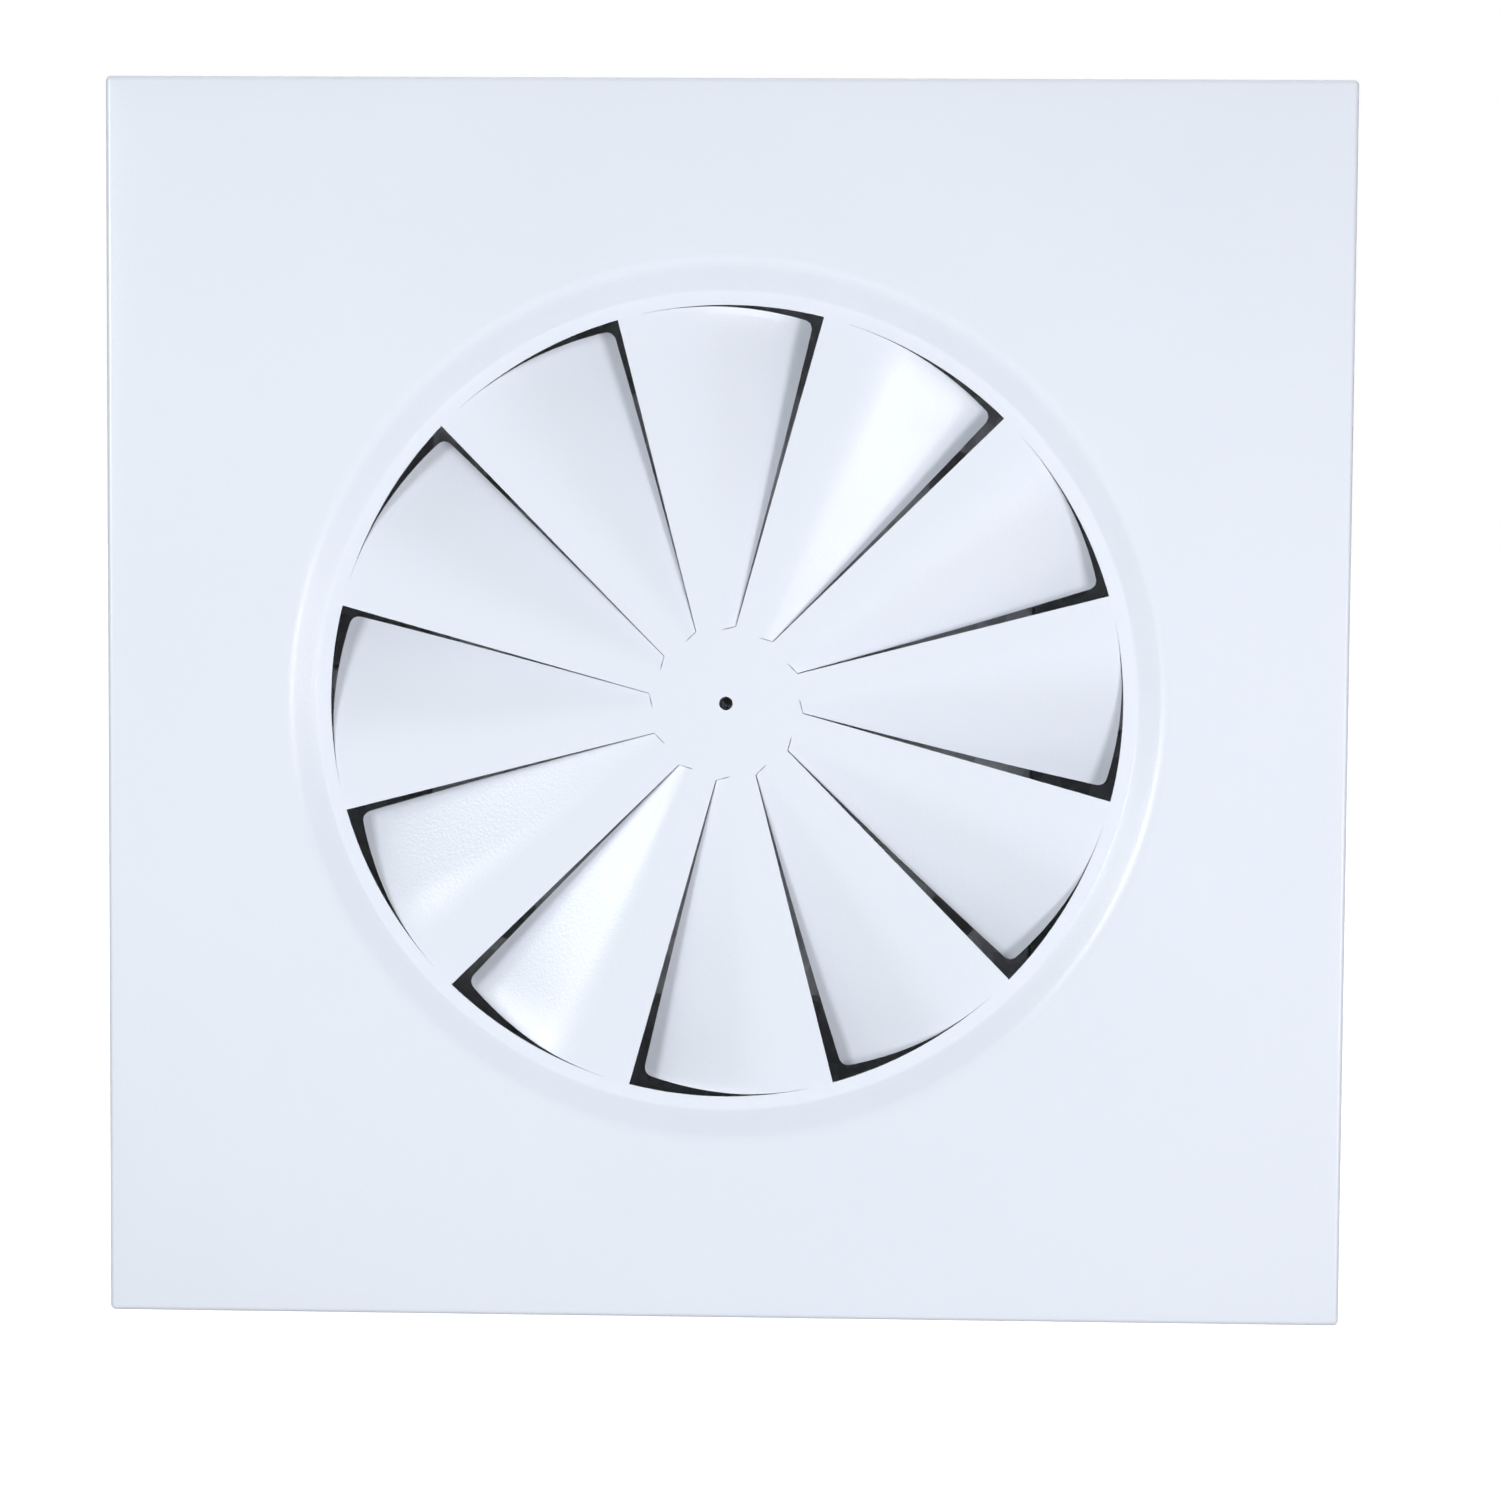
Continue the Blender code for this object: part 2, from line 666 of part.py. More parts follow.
def build_lugs(parent, steel):
    low = PANEL_REAR + GAP
    inner = LUG_CENTRE - 0.5 * LUG_FOOT
    outer = LUG_CENTRE + 0.5 * LUG_FOOT
    outline = [
        (inner, low),
        (outer, low),
        (outer, low + LUG_HEIGHT),
        (outer - LUG_SHEET, low + LUG_HEIGHT),
        (outer - LUG_SHEET, low + LUG_SHEET),
        (inner, low + LUG_SHEET),
    ]
    number = 0
    spots = lug_spots()
    for side_x in (-1, 1):
        for side_z in (-1, 1):
            number += 1
            shape = [(side_x * a, b) for a, b in outline]
            middle = side_z * LUG_CENTRE
            bm = prism(shape, middle - 0.5 * LUG_LENGTH, middle + 0.5 * LUG_LENGTH, "Z")
            name = f"hanger_lug_{number}"
            lug = add(name, make_mesh(name, bm), steel, parent)
            hole_depth = low + LUG_HEIGHT - 12.0 * MM
            hole = circle((hole_depth, middle), LUG_HOLE_RADIUS, 12)
            reach = (side_x * outer - 6.0 * MM, side_x * outer + 6.0 * MM)
            tools = [prism(hole, *reach, "X")]
            mine = spots[2 * (number - 1) : 2 * number]
            tools += [rivet_hole(spot, (0, 1, 0)) for spot in mine]
            boolean(lug, f"cut_lug_{number}", tools, "DIFFERENCE")


def build_spigot(parent, steel, nylon):
    outer = SPIGOT_RADIUS
    inner = SPIGOT_RADIUS - SPIGOT_SHEET
    flange_front = PANEL_REAR + GAP
    flange_rear = flange_front + SPIGOT_SHEET
    flange_radius = outer + SPIGOT_FLANGE
    bead = OVERALL_DEPTH - 16.0 * MM
    bead_rise = 1.5 * MM
    profile = [
        (inner, PANEL_REAR - SPIGOT_INSIDE),
        (outer, PANEL_REAR - SPIGOT_INSIDE),
        (outer, flange_front),
        (flange_radius, flange_front),
        (flange_radius, flange_rear),
        (outer, flange_rear),
        (outer, bead - 4.0 * MM),
        (outer + bead_rise, bead - 1.5 * MM),
        (outer + bead_rise, bead + 1.5 * MM),
        (outer, bead + 4.0 * MM),
        (outer, OVERALL_DEPTH),
        (inner, OVERALL_DEPTH),
        (inner, bead + 4.0 * MM),
        (inner + bead_rise, bead + 1.5 * MM),
        (inner + bead_rise, bead - 1.5 * MM),
        (inner, bead - 4.0 * MM),
    ]
    spigot = add("spigot", make_mesh("spigot", lathe(profile, SPIGOT_SIDES)), steel, parent)
    bush_radius = 6.0 * MM
    bush_hole = circle((SHAFT_DEPTH, 0.0), bush_radius + 2.0 * GAP, 16)
    holes = [prism(bush_hole, -outer - 5.0 * MM, outer + 5.0 * MM, "X")]
    holes += [rivet_hole(spot, (0, 1, 0)) for spot in flange_spots()]
    boolean(spigot, "cut_spigot_holes", holes, "DIFFERENCE")

    bore = (SHAFT_RADIUS + 0.05 * MM) / math.cos(math.pi / 16.0)
    bush_profile = [
        (bore, -2.6 * MM),
        (bush_radius, -2.6 * MM),
        (bush_radius, GAP),
        (9.0 * MM, GAP),
        (9.0 * MM, 2.3 * MM),
        (bore, 2.3 * MM),
    ]
    bush_mesh = make_mesh("shaft_bush", lathe(bush_profile, 16))
    for name, side in (("shaft_bush_left", -1), ("shaft_bush_right", 1)):
        place = (side * outer, SHAFT_DEPTH, 0.0)
        add(name, bush_mesh, nylon, parent, place, pointing((side, 0, 0)))


def build_quadrant(parent, steel):
    """Bracket on the rear panel with an arc slot that guides the lock bolt."""
    low = PANEL_REAR + GAP
    bottom = -14.0 * MM
    centre = (SHAFT_DEPTH, 0.0)
    start = math.asin(bottom / QUADRANT_RADIUS)
    outline = [(low, QUADRANT_RADIUS), (low, bottom)]
    outline += arc(centre, QUADRANT_RADIUS, start, math.radians(90.0), 12)
    near = QUADRANT_X
    far = QUADRANT_X + QUADRANT_SHEET
    bracket_mesh = make_mesh("quadrant_plate", prism(outline, near, far, "X"))
    bracket = add("quadrant_plate", bracket_mesh, steel, parent)
    foot = box_outline(low, low + QUADRANT_SHEET, bottom, QUADRANT_RADIUS)
    foot_solid = prism(foot, near + 0.5 * QUADRANT_SHEET, near + QUADRANT_FOOT, "X")
    boolean(bracket, "join_quadrant_foot", [foot_solid], "UNION")

    slot_half = THREAD_RADIUS + 0.6 * MM
    first = math.radians(-2.0)
    last = math.radians(92.0)
    slot = arc(centre, LOCK_RADIUS + slot_half, first, last, 12)
    end = (centre[0] + LOCK_RADIUS * math.cos(last), centre[1] + LOCK_RADIUS * math.sin(last))
    slot += arc(end, slot_half, last, last + math.pi, 4)[1:-1]
    slot += arc(centre, LOCK_RADIUS - slot_half, last, first, 12)
    end = (centre[0] + LOCK_RADIUS * math.cos(first), centre[1] + LOCK_RADIUS * math.sin(first))
    slot += arc(end, slot_half, first + math.pi, first + 2.0 * math.pi, 4)[1:-1]
    shaft_hole = circle(centre, SHAFT_RADIUS + 0.6 * MM, 16)
    tools = [
        prism(slot, near - 3.0 * MM, far + 3.0 * MM, "X"),
        prism(shaft_hole, near - 3.0 * MM, far + 3.0 * MM, "X"),
    ]
    tools += [rivet_hole(spot, (0, 1, 0)) for spot in quadrant_spots()]
    boolean(bracket, "cut_quadrant", tools, "DIFFERENCE")


def build_damper(axis, steel, zinc):
    """Everything that turns with the damper shaft; axis is an empty on its centre line."""
    end_thread = LEVER_X + LEVER_SHEET + 8.5 * MM
    shoulder = LEVER_X - GAP
    shaft_profile = [
        (0.0, -108.0 * MM),
        (SHAFT_RADIUS - 0.6 * MM, -108.0 * MM),
        (SHAFT_RADIUS, -107.4 * MM),
        (SHAFT_RADIUS, shoulder),
        (THREAD_RADIUS, shoulder),
        (THREAD_RADIUS, end_thread),
        (0.0, end_thread),
    ]
    along_x = pointing((1, 0, 0))
    add("damper_shaft", make_mesh("damper_shaft", lathe(shaft_profile, 16)), zinc, axis, turn=along_x)

    clip_profile = [
        (SHAFT_RADIUS + GAP, -103.4 * MM),
        (SHAFT_RADIUS + 3.0 * MM, -103.4 * MM),
        (SHAFT_RADIUS + 3.0 * MM, -102.4 * MM),
        (SHAFT_RADIUS + GAP, -102.4 * MM),
    ]
    add("shaft_clip", make_mesh("shaft_clip", lathe(clip_profile, 16)), zinc, axis, turn=along_x)

    blade_low = SHAFT_RADIUS + GAP
    blade_high = blade_low + BLADE_SHEET
    disc = circle((0.0, 0.0), BLADE_RADIUS, SPIGOT_SIDES)
    blade_mesh = make_mesh("damper_blade", prism(disc, blade_low, blade_high, "Z"))
    blade = add("damper_blade", blade_mesh, steel, axis)
    ear = 14.0 * MM
    ear_middle = 10.0 * MM
    rivet_spots = []
    for side_x in (-1, 1):
        for side_y in (-1, 1):
            rivet_spots.append((side_x * CLAMP_OFFSET, side_y * ear_middle, blade_low))
    boolean(blade, "cut_blade_holes", [rivet_hole(spot, (0, 0, 1)) for spot in rivet_spots], "DIFFERENCE")

    inner = SHAFT_RADIUS + GAP
    outer = inner + LUG_SHEET
    ear_high = SHAFT_RADIUS
    ear_low = ear_high - LUG_SHEET
    saddle = [(ear, ear_high), (inner, ear_high)]
    saddle += arc((0.0, 0.0), inner, 0.0, -math.pi, 8)
    saddle += [(-inner, ear_high), (-ear, ear_high), (-ear, ear_low), (-outer, ear_low)]
    saddle += arc((0.0, 0.0), outer, -math.pi, 0.0, 8)
    saddle += [(outer, ear_low), (ear, ear_low)]
    rivet = rivet_mesh("rivet_blade", LUG_SHEET + GAP + BLADE_SHEET)
    for i, side in enumerate((-1, 1), start=1):
        middle = side * CLAMP_OFFSET
        name = f"blade_clamp_{i}"
        bm = prism(saddle, middle - 8.0 * MM, middle + 8.0 * MM, "X")
        clamp = add(name, make_mesh(name, bm), steel, axis)
        mine = rivet_spots[2 * (i - 1) : 2 * i]
        boolean(clamp, f"cut_clamp_{i}", [rivet_hole(spot, (0, 0, 1)) for spot in mine], "DIFFERENCE")
    for i, (x, y, _) in enumerate(rivet_spots, start=1):
        add(f"blade_rivet_{i}", rivet, zinc, axis, (x, y, ear_low - GAP), pointing((0, 0, 1)))

    build_lever(axis, zinc, along_x)


def build_lever(axis, zinc, along_x):
    near = LEVER_X
    far = LEVER_X + LEVER_SHEET
    hub = 9.0 * MM
    neck = math.asin(LEVER_HALF / hub)
    tip = LEVER_LENGTH - LEVER_HALF
    outline = arc((0.0, 0.0), hub, neck, 2.0 * math.pi - neck, 12)
    outline += arc((tip, 0.0), LEVER_HALF, math.radians(-90.0), math.radians(90.0), 6)
    lever = add("lever", make_mesh("lever", prism(outline, near, far, "X")), zinc, axis)
    tools = [
        prism(circle((0.0, 0.0), THREAD_RADIUS + HOLE_EASE, 12), near - MM, far + MM, "X"),
        prism(circle((LOCK_RADIUS, 0.0), THREAD_RADIUS + HOLE_EASE, 12), near - MM, far + MM, "X"),
    ]
    boolean(lever, "cut_lever_holes", tools, "DIFFERENCE")

    bore = THREAD_RADIUS + GAP
    nut_near = far + GAP
    hex_bore = bore / math.cos(math.pi / 6.0)
    nut = [(hex_bore, 0.0), (5.8 * MM, 0.0), (5.8 * MM, 5.0 * MM), (hex_bore, 5.0 * MM)]
    add("lever_nut", make_mesh("lever_nut", lathe(nut, 6)), zinc, axis, (nut_near, 0.0, 0.0), along_x)

    lock = (0.0, LOCK_RADIUS, 0.0)
    head_far = QUADRANT_X - GAP
    bolt_profile = [
        (0.0, head_far - 3.5 * MM),
        (4.5 * MM, head_far - 3.0 * MM),
        (6.5 * MM, head_far - 1.2 * MM),
        (6.5 * MM, head_far),
        (THREAD_RADIUS, head_far),
        (THREAD_RADIUS, far + 12.0 * MM),
        (0.0, far + 12.0 * MM),
    ]
    add("lock_bolt", make_mesh("lock_bolt", lathe(bolt_profile, 12)), zinc, axis, lock, along_x)
    low = QUADRANT_X + QUADRANT_SHEET + GAP
    high = near - GAP
    washer = [(bore, low), (6.5 * MM, low), (6.5 * MM, high), (bore, high)]
    add("lock_washer", make_mesh("lock_washer", lathe(washer, 16)), zinc, axis, lock, along_x)

    # Wing nut: a hub with two wings that rise away from the lever
    hub_profile = [
        (THREAD_RADIUS + GAP, 0.0),
        (WING_HUB, 0.0),
        (WING_HUB - 0.6 * MM, 6.0 * MM),
        (THREAD_RADIUS + GAP, 6.0 * MM),
    ]
    wings = []
    for side in (-1, 1):
        outline = [(a * MM, side * b * MM) for b, a in WING_SHAPE]
        wings.append(prism(outline, -MM, MM, "Z"))
    spin = add_empty("wing_nut_axis", axis, (far + GAP, LOCK_RADIUS, 0.0))
    wing_nut = add("wing_nut", make_mesh("wing_nut", lathe(hub_profile, 16)), zinc, spin, turn=along_x)
    boolean(wing_nut, "join_wings", wings, "UNION")


def main():
    clear_scene()
    paint = make_material("white_powder_coat", (0.80, 0.84, 0.90), 0.0, 0.38)
    steel = make_material("galvanised_steel", (0.56, 0.58, 0.60), 1.0, 0.42)
    zinc = make_material("zinc_plated_steel", (0.66, 0.68, 0.70), 1.0, 0.30)
    foam = make_material("black_foam_seal", (0.03, 0.03, 0.03), 0.0, 0.95)
    nylon = make_material("white_nylon", (0.78, 0.78, 0.74), 0.0, 0.45)

    face_origin = add_empty("face_origin", None, (0.0, -0.5 * OVERALL_DEPTH, 0.0))
    build_face(face_origin, paint, foam)
    build_box(face_origin, steel)
    build_box_rivets(face_origin, zinc)
    build_crossbar(face_origin, steel, zinc)
    build_baffle(face_origin, steel)
    build_lugs(face_origin, steel)
    build_spigot(face_origin, steel, nylon)
    build_quadrant(face_origin, steel)
    damper_axis = add_empty("damper_axis", face_origin, (0.0, SHAFT_DEPTH, 0.0))
    build_damper(damper_axis, steel, zinc)


main()
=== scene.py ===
import json
import math
import random

import bmesh
import bpy
from mathutils import Matrix, Vector


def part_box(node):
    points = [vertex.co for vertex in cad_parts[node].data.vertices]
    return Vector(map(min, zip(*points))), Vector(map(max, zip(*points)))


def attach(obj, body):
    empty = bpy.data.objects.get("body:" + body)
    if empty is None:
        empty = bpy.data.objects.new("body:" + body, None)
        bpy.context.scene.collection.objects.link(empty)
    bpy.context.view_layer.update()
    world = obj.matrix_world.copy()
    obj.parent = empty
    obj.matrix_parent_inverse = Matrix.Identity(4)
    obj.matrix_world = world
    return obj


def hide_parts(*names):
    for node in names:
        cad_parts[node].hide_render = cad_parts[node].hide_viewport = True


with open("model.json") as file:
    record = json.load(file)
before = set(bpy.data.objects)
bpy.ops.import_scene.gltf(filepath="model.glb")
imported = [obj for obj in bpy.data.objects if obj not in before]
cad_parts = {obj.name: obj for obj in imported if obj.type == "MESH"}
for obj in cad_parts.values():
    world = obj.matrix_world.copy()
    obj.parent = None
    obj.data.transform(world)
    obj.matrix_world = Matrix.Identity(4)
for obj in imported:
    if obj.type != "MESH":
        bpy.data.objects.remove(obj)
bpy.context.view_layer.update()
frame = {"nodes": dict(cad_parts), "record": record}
plate_low, plate_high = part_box("face_plate")

MM = 0.001
FACE_Y = plate_low.y
SEED = 11

# Camera, placed from the perspective of the square plate
CAMERA_PLACE = (0.06656, -1.79638 + FACE_Y, 0.09587)
CAMERA_TURN_DEG = (86.2546, -0.3984, 1.7648)
CAMERA_LENS = 90.2
CAMERA_SENSOR = 36.0

# Face plate
PLATE_HALF = plate_high.x
SHEET = 1.0 * MM
EDGE_RADIUS = 2.5 * MM
EDGE_ROWS = 8
CORNER_STEPS = 8
LIP_DEPTH = plate_high.y - plate_low.y
LIP_ROWS = 3
HOLE_RADIUS = 3.25 * MM
BORDER_ROWS = 10
PLATE_BEVEL = 0.07 * MM

# Round recess
ROLL_START = 215.0 * MM
ROLL_RADIUS = 14.0 * MM
ROLL_ROWS = 10
SLOPE = math.radians(33.0)
SLOPE_ROWS = 3
FILLET_RADIUS = 3.0 * MM
FILLET_ROWS = 7
RING_OUTER = 196.5 * MM
RING_ROWS = 2

# Swirl pattern
BLADES = 12
PITCH = 2.0 * math.pi / BLADES
SPOKE_AZIMUTH = math.radians(14.5)
SPOKE_CUT_SIDE = 5.4 * MM
SPOKE_BEND_SIDE = 6.5 * MM
SPOKE_STEPS = 4
CUT_RADIUS = 190.8 * MM
HUB_CUT = 34.7 * MM
HUB_ROWS = 5
RING_COLUMNS = 22
# Rows hub to rim and columns bend line to free edge, closer together towards the edges
BLADE_ROWS = [0.974 * i / 16.0 for i in range(17)] + [0.981, 0.987, 0.992, 0.996, 1.0]
BLADE_COLUMNS = [0.0, 0.01, 0.025] + [0.05 + 0.91 * i / 20.0 for i in range(21)]
BLADE_COLUMNS += [0.972, 0.982, 0.99, 1.0]
TWIST_SPREAD = 0.02
KERF = 0.22 * MM
KERF_START = 0.06 * MM
KERF_OPENS = 0.25
BEND_ANGLE = math.radians(24.0)
BEND_RATIO = 0.5
HUB_BEND_SHARE = 0.62
CORNER_ROUND = 4.5 * MM
CURL_REACH = 13.0 * MM
CURL_RISE = 1.6 * MM
WAVE = 0.35 * MM
WAVE_FROM_EDGE = 40.0 * MM
WAVE_FROM_ROLL = 25.0 * MM

# Plenum box
BOX_HALF = 284.0 * MM
BOX_SHEET = 1.0 * MM
BOX_FLANGE = 15.0 * MM
BOX_FRONT = 4.6 * MM
BOX_CORNER = 2.5 * MM
PANEL_REAR = 186.0 * MM
TRAY_RIM = 15.0 * MM
GAP = 0.3 * MM
BOX_FOLD = 2.0 * MM
PANEL_FLAT = 262.0 * MM
BEND_STEPS = 5

# Crossbar and baffle
BAR_FRONT = 45.0 * MM
BAR_SHEET = 1.5 * MM
BAR_WIDTH = 30.0 * MM
BAR_EDGE = 15.0 * MM
BAR_TAB = 25.0 * MM
BAR_ROUND = 4.0 * MM
SHEET_BEND = 1.2 * MM
BAFFLE_HALF = 150.0 * MM
BAFFLE_FRONT = 78.0 * MM
BAFFLE_FOOT = 18.0 * MM
BAFFLE_HOLES = 6
BAFFLE_PITCH = 44.0 * MM
BAFFLE_HOLE_RADIUS = 13.0 * MM
BAFFLE_SOLID_RADIUS = 114.0 * MM

# Spigot, damper and lever
SPIGOT_RADIUS = 99.0 * MM
SPIGOT_FLANGE = 15.0 * MM
SPIGOT_SIDES = 144
SPIGOT_END = 296.0 * MM
BEAD_DEPTH = 280.0 * MM
BEAD_RISE = 1.5 * MM
BEAD_HALF = 4.0 * MM
BEAD_STEPS = 12
SPIGOT_SHEET = 1.0 * MM
SPIGOT_INSIDE = 10.0 * MM
FLANGE_FILLET = 1.2 * MM
SEAM_AZIMUTH = math.radians(232.0)
SEAM_HALF = 3.5 * MM
SEAM_RISE = 0.7 * MM
SEAM_EDGE = 1.5 * MM
SHAFT_DEPTH = 200.0 * MM
SHAFT_RADIUS = 4.0 * MM
SHAFT_START = -108.0 * MM
CLIP_OPENING = math.radians(26.0)
ALONG_X = (1.0, 0.0, 0.0)
THREAD_RADIUS = 3.0 * MM
THREAD_PITCH = 1.0 * MM
THREAD_GROOVE = 0.45 * MM
THREAD_TIP = 0.6 * MM
NUT_CHAMFER = 0.6 * MM
BLADE_RADIUS = 95.5 * MM
BLADE_SHEET = 1.5 * MM
CLAMP_OFFSET = 55.0 * MM
CLAMP_HALF = 8.0 * MM
CLAMP_EAR = 14.0 * MM
CLAMP_RIVET = 10.0 * MM
QUADRANT_X = 115.0 * MM
QUADRANT_SHEET = 1.5 * MM
QUADRANT_RADIUS = 56.0 * MM
QUADRANT_FOOT = 24.0 * MM
QUADRANT_BOTTOM = -14.0 * MM
SLOT_START = math.radians(-2.0)
SLOT_END = math.radians(92.0)
LOCK_RADIUS = 45.0 * MM
LEVER_X = 118.5 * MM
LEVER_SHEET = 3.0 * MM
LEVER_LENGTH = 66.0 * MM
LEVER_HALF = 7.0 * MM
LEVER_HUB = 9.0 * MM
NUT_RADIUS = 5.8 * MM
NUT_HEIGHT = 5.0 * MM
HEAD_RADIUS = 6.5 * MM

# Hanger lugs
LUG_CENTRE = 245.0 * MM
LUG_FOOT = 30.0 * MM
LUG_HEIGHT = 40.0 * MM
LUG_LENGTH = 40.0 * MM
LUG_SHEET = 1.5 * MM
LUG_BEND = 1.5 * MM
LUG_HOLE_RADIUS = 4.5 * MM
LUG_HOLE_SETBACK = 12.0 * MM
LUG_ROUND = 6.0 * MM

# Fasteners
RIVET_RADIUS = 1.6 * MM
RIVET_HEAD = 3.2 * MM
SCREW_RADIUS = 1.9 * MM
ROUND_SIDES = 28

# Turned parts, as (radius, depth) in millimetres
RIVET_NUT_PROFILE = (
    (2.6, -2.0), (5.6, -2.0), (6.2, -1.7), (6.5, -1.1), (6.5, -0.3), (4.5, -0.3),
    (4.5, 2.0), (5.6, 3.2), (5.6, 4.2), (4.5, 5.4), (4.5, 12.0), (2.6, 12.0),
)
BUSH_PROFILE = (
    (4.05, -2.6), (5.7, -2.6), (6.0, -2.3), (6.0, 0.3), (9.0, 0.3), (9.0, 1.8), (8.5, 2.3),
    (4.45, 2.3), (4.05, 2.0),
)
WING_HUB_PROFILE = (
    (3.3, 0.0), (4.7, 0.0), (5.0, 0.4), (4.75, 3.4), (4.5, 5.3), (4.1, 6.0), (3.6, 6.0), (3.3, 5.7),
)
WING_SPINE = ((4.1, 3.0, 2.0), (5.5, 3.4, 1.9), (7.0, 4.9, 1.8), (8.2, 6.6, 1.75), (9.0, 7.7, 1.2))
WING_SIDES = 16

# Edge looks
SMOOTH_DEG = 32.0
ON_AXIS = 1e-7

# Lights: two softboxes in front of the plate, soft lights above and behind
FRONT_DISTANCE = 2.0
FRONT_TILT = math.radians(27.0)
RIGHT_AZIMUTH = math.radians(-13.0)
LEFT_AZIMUTH = math.radians(166.0)
FRONT_SIZE = 0.33
RIGHT_POWER = 15.9
LEFT_POWER = 14.6
FRONT_POWER = 9.1
FRONT_PLACE = (0.18, -2.1, 0.04)
FRONT_SOFT = 0.30
SHEEN_TILT = math.radians(43.0)
SHEEN_SIZE = 0.45
RIGHT_SHEEN = 12.0
LEFT_SHEEN = 20.5
RIGHT_COLOUR = (1.0, 0.985, 1.0)
LEFT_COLOUR = (0.965, 1.0, 1.0)
SOFT_LIGHTS = (
    ("overhead", (0.0, 0.55, 2.4), 1.8, 20.0),
    ("side_left", (-2.6, 0.9, 0.9), 1.4, 5.0),
    ("side_right", (2.6, 0.9, 0.9), 1.4, 4.0),
    ("rear_soft", (1.6, 2.6, 1.5), 1.2, 8.0),
)
FILL_STOPS = ((0.0, (0.13, 0.13, 0.13)), (0.5, (0.10, 0.10, 0.10)), (1.0, (0.07, 0.07, 0.07)))
SHINE_STOPS = (
    (0.0, (0.50, 0.50, 0.50)),
    (0.5, (0.58, 0.59, 0.61)),
    (0.8, (0.95, 0.97, 1.0)),
    (1.0, (0.8, 0.8, 0.8)),
)
FLOOR_Z = plate_low.z
FLOOR_HALF = 30.0
FLOOR_STEPS = 8
FLOOR_GLOW = 0.84
FLOOR_NEAR = 0.7
FLOOR_FAR = 2.2


# ---------------------------------------------------------------- shape tools


def smoothstep(value):
    value = min(max(value, 0.0), 1.0)
    return value * value * (3.0 - 2.0 * value)


def arc(centre, radius, start, end, count):
    angles = [start + (end - start) * i / count for i in range(count + 1)]
    return [(centre[0] + radius * math.cos(a), centre[1] + radius * math.sin(a)) for a in angles]


def round_spot(radius, azimuth, depth):
    """A point round the Y axis."""
    return (radius * math.cos(azimuth), depth, radius * math.sin(azimuth))


def circle(centre, radius, sides):
    return arc(centre, radius, 0.0, 2.0 * math.pi, sides)[:-1]


def placed(a, b, level, axis):
    """A point from two plane coordinates and a level along the axis."""
    if axis == "X":
        return (level, a, b)
    if axis == "Y":
        return (a, level, b)
    return (a, b, level)


def in_mm(points, depth=0.0):
    """Millimetre (radius, depth) points in metres, counted from a depth."""
    return [(radius * MM, depth + level * MM) for radius, level in points]


def stitch(bm, near, far):
    """Faces between two closed loops; a vertex that a face meets twice is used once."""
    for i in range(len(near)):
        j = (i + 1) % len(near)
        corners = list(dict.fromkeys((near[i], far[i], far[j], near[j])))
        if len(corners) > 2:
            bm.faces.new(corners)


def prism(outline, low, high, axis, holes=()):
    """A flat outline with holes, extruded along the axis; X outlines are (Y, Z)."""
    bm = bmesh.new()
    loops = [list(outline)] + [list(hole) for hole in holes]
    caps = []
    for level in (low, high):
        rings = [[bm.verts.new(placed(a, b, level, axis)) for a, b in loop] for loop in loops]
        caps.append(rings)
        if len(loops) == 1:
            bm.faces.new(rings[0])
            continue
        edges = []
        for ring in rings:
            for i in range(len(ring)):
                edges.append(bm.edges.new((ring[i - 1], ring[i])))
        bmesh.ops.triangle_fill(bm, use_beauty=True, use_dissolve=False, edges=edges)
    for lower, upper in zip(*caps):
        stitch(bm, lower, upper)
    bmesh.ops.recalc_face_normals(bm, faces=bm.faces)
    return bm


def lathe(profile, sides):
    """A (radius, depth) profile turned round +Y; points on the axis become one vertex."""
    bm = bmesh.new()
    rings = []
    for radius, depth in profile:
        if radius <= ON_AXIS:
            rings.append([bm.verts.new((0.0, depth, 0.0))] * sides)
        else:
            rings.append([bm.verts.new((x, depth, z)) for x, z in circle((0.0, 0.0), radius, sides)])
    if profile[0][0] > ON_AXIS:
        rings.append(rings[0])
    for first, second in zip(rings, rings[1:]):
        stitch(bm, first, second)
    bmesh.ops.recalc_face_normals(bm, faces=bm.faces)
    return bm


def bent_strip(points, thickness, radius):
    """Outline of a sheet folded along points; the sheet lies on the left of the path."""
    path = [Vector(p) for p in points]
    ways = [(b - a).normalized() for a, b in zip(path, path[1:])]
    lefts = [Vector((-d.y, d.x)) for d in ways]
    near = [path[0]]
    far = [path[0] + lefts[0] * thickness]
    for i in range(1, len(path) - 1):
        first, second = lefts[i - 1], lefts[i]
        turn = ways[i - 1].x * ways[i].y - ways[i - 1].y * ways[i].x
        side = 1.0 if turn > 0.0 else -1.0
        reach = radius + thickness if turn > 0.0 else radius
        centre = path[i] + (first + second) * (side * reach / (1.0 + first.dot(second)))
        for step in range(BEND_STEPS + 1):
            normal = first.slerp(second, step / BEND_STEPS)
            near.append(centre - normal * (side * reach))
            far.append(centre - normal * (side * reach - thickness))
    near.append(path[-1])
    far.append(path[-1] + lefts[-1] * thickness)
    return [tuple(p) for p in near + far[::-1]]


